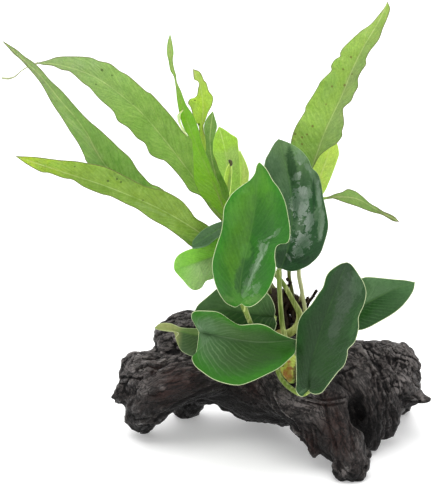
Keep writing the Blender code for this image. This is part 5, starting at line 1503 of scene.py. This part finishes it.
# the first layer leaves the hollows near-black: painted shade
woodLayers = (
    (rampTo(woodTree, woodHeight, 0.15, 0.5), "middle", None), (raisedGrainShare, "high", None),
    (paintedTopLight, "upward", 0.8), (paleAndPaintedLightShare, "pale", 0.95), (woodPatch, "brown", 0.3),
    (woodFine, "pores", 0.45), (rampTo(woodTree, woodFibre, 0.53, 0.66), "fibres", 0.34),
    (rampTo(woodTree, woodFibre, 0.48, 0.36), "furrows", 0.6),
    (woodSmooth, "smooth", 0.55), (woodRed, "red", 0.65), (paleAndPaintedLightShare, "pale", 0.22),
    # painted shade: the undersides and the dark patches
    (woodSplit, "splits", 0.8), (woodPaintedUnderShade, "under", 0.85), (woodPaintedShade, "dark", 0.85),
    (paintedGlintShare, "crests", None),
)
woodColour = layered(woodTree, onScreen(*woodLook["low"]),
                     *((mask, woodLook[tone], share) for mask, tone, share in woodLayers))
woodTree.links.new(woodColour, woodShader.inputs["Base Color"])
woodDry = opposite(woodTree, rampTo(woodTree, woodHeight, 0.4, 0.8))
woodRough = calc(woodTree, "MULTIPLY_ADD", woodDry, 0.35,
                 calc(woodTree, "MULTIPLY_ADD", woodFine, 0.24, 0.18))
woodTree.links.new(woodRough, woodShader.inputs["Roughness"])
woodGloss = times(woodTree, rampTo(woodTree, woodHeight, 0.5, 0.8), rampTo(woodTree, woodFine, 0.5, 0.75))
woodTree.links.new(times(woodTree, woodGloss, opposite(woodTree, woodPaintedShade)), woodShader.inputs["Coat Weight"])
woodRise = 0.0
for mask, share in ((woodFine, 0.9), (woodStreak, 0.8), (woodFibre, 2.4), (woodSplit, -1.6)):
    woodRise = calc(woodTree, "MULTIPLY_ADD", mask, share, woodRise)
roughen(woodTree, woodShader, woodRise, 1.0, 0.0007)
wood.materials.append(woodFinish)
standIn(newPiece("driftwood_body", wood), "driftwood", *driftwood["nodes"])


# Floor, light and camera
studio = dict(
    floor=6.0, floorGlow=0.24, front=0.55, back=1.15,
    # each lamp's energy, its width and height, and its place
    lamps=dict(keyLight=(15.0, (1.2, 1.2), (-0.14, 0.04, 1.3)),
               glossLight=(5.5, (0.9, 0.5), (0.62, -1.45, 0.42))),
    lampAim=(0, 0, 0.1),
)
floorMesh = bpy.data.meshes.new("floor")
half = studio["floor"] / 2
floorMesh.from_pydata([(-half, -half, 0), (half, -half, 0), (half, half, 0), (-half, half, 0)], [],
                      [(0, 1, 2, 3)])
floorFinish, floorTree, floorShader = newMaterial("paleFloor", Roughness=0.6)
floorPatch = patchesAt(floorTree, 0.05, 0.2, 0.0)
floorTree.links.new(mixColour(floorTree, floorPatch, (0.88, 0.88, 0.88), (0.9, 0.9, 0.9)),
                    floorShader.inputs["Base Color"])
floorShader.inputs["Emission Color"].default_value = (1, 1, 1, 1)
floorShader.inputs["Emission Strength"].default_value = studio["floorGlow"]
floorMesh.materials.append(floorFinish)
newPiece("floor", floorMesh)

world = bpy.data.worlds.new("studio")
world.use_nodes = True
sky = world.node_tree
direction = addNode(sky, "ShaderNodeTexCoord").outputs["Generated"]
backwards = addNode(sky, "ShaderNodeSeparateXYZ", {"Vector": direction}).outputs["Y"]
brightness = calc(sky, "MULTIPLY_ADD", rampTo(sky, backwards, -0.7, 0.4), studio["back"] - studio["front"],
                  studio["front"])
sky.links.new(brightness, sky.nodes["Background"].inputs["Strength"])
sky.nodes["Background"].inputs["Color"].default_value = (1, 1, 1, 1)
bpy.context.scene.world = world

for lampName, (energy, size, place) in studio["lamps"].items():
    lamp = bpy.data.lights.new(lampName, "AREA")
    lamp.energy = energy
    lamp.shape = "RECTANGLE"
    lamp.size, lamp.size_y = size
    light = newPiece(lampName, lamp)
    light.location = place
    light.rotation_mode = "QUATERNION"
    light.rotation_quaternion = (Vector(studio["lampAim"]) - light.location).to_track_quat("-Z", "Y")

camera = newPiece("camera", bpy.data.cameras.new("camera"))
camera.location = eye
camera.rotation_mode = "QUATERNION"
camera.rotation_quaternion = lookForward.to_track_quat("-Z", "Y")
camera.data.sensor_width = 36
camera.data.lens = 36 * photoView["distance"] / (photoView["high"] * photoView["pixel"])
bpy.context.scene.camera = camera
bpy.context.scene.view_settings.view_transform = "Standard"
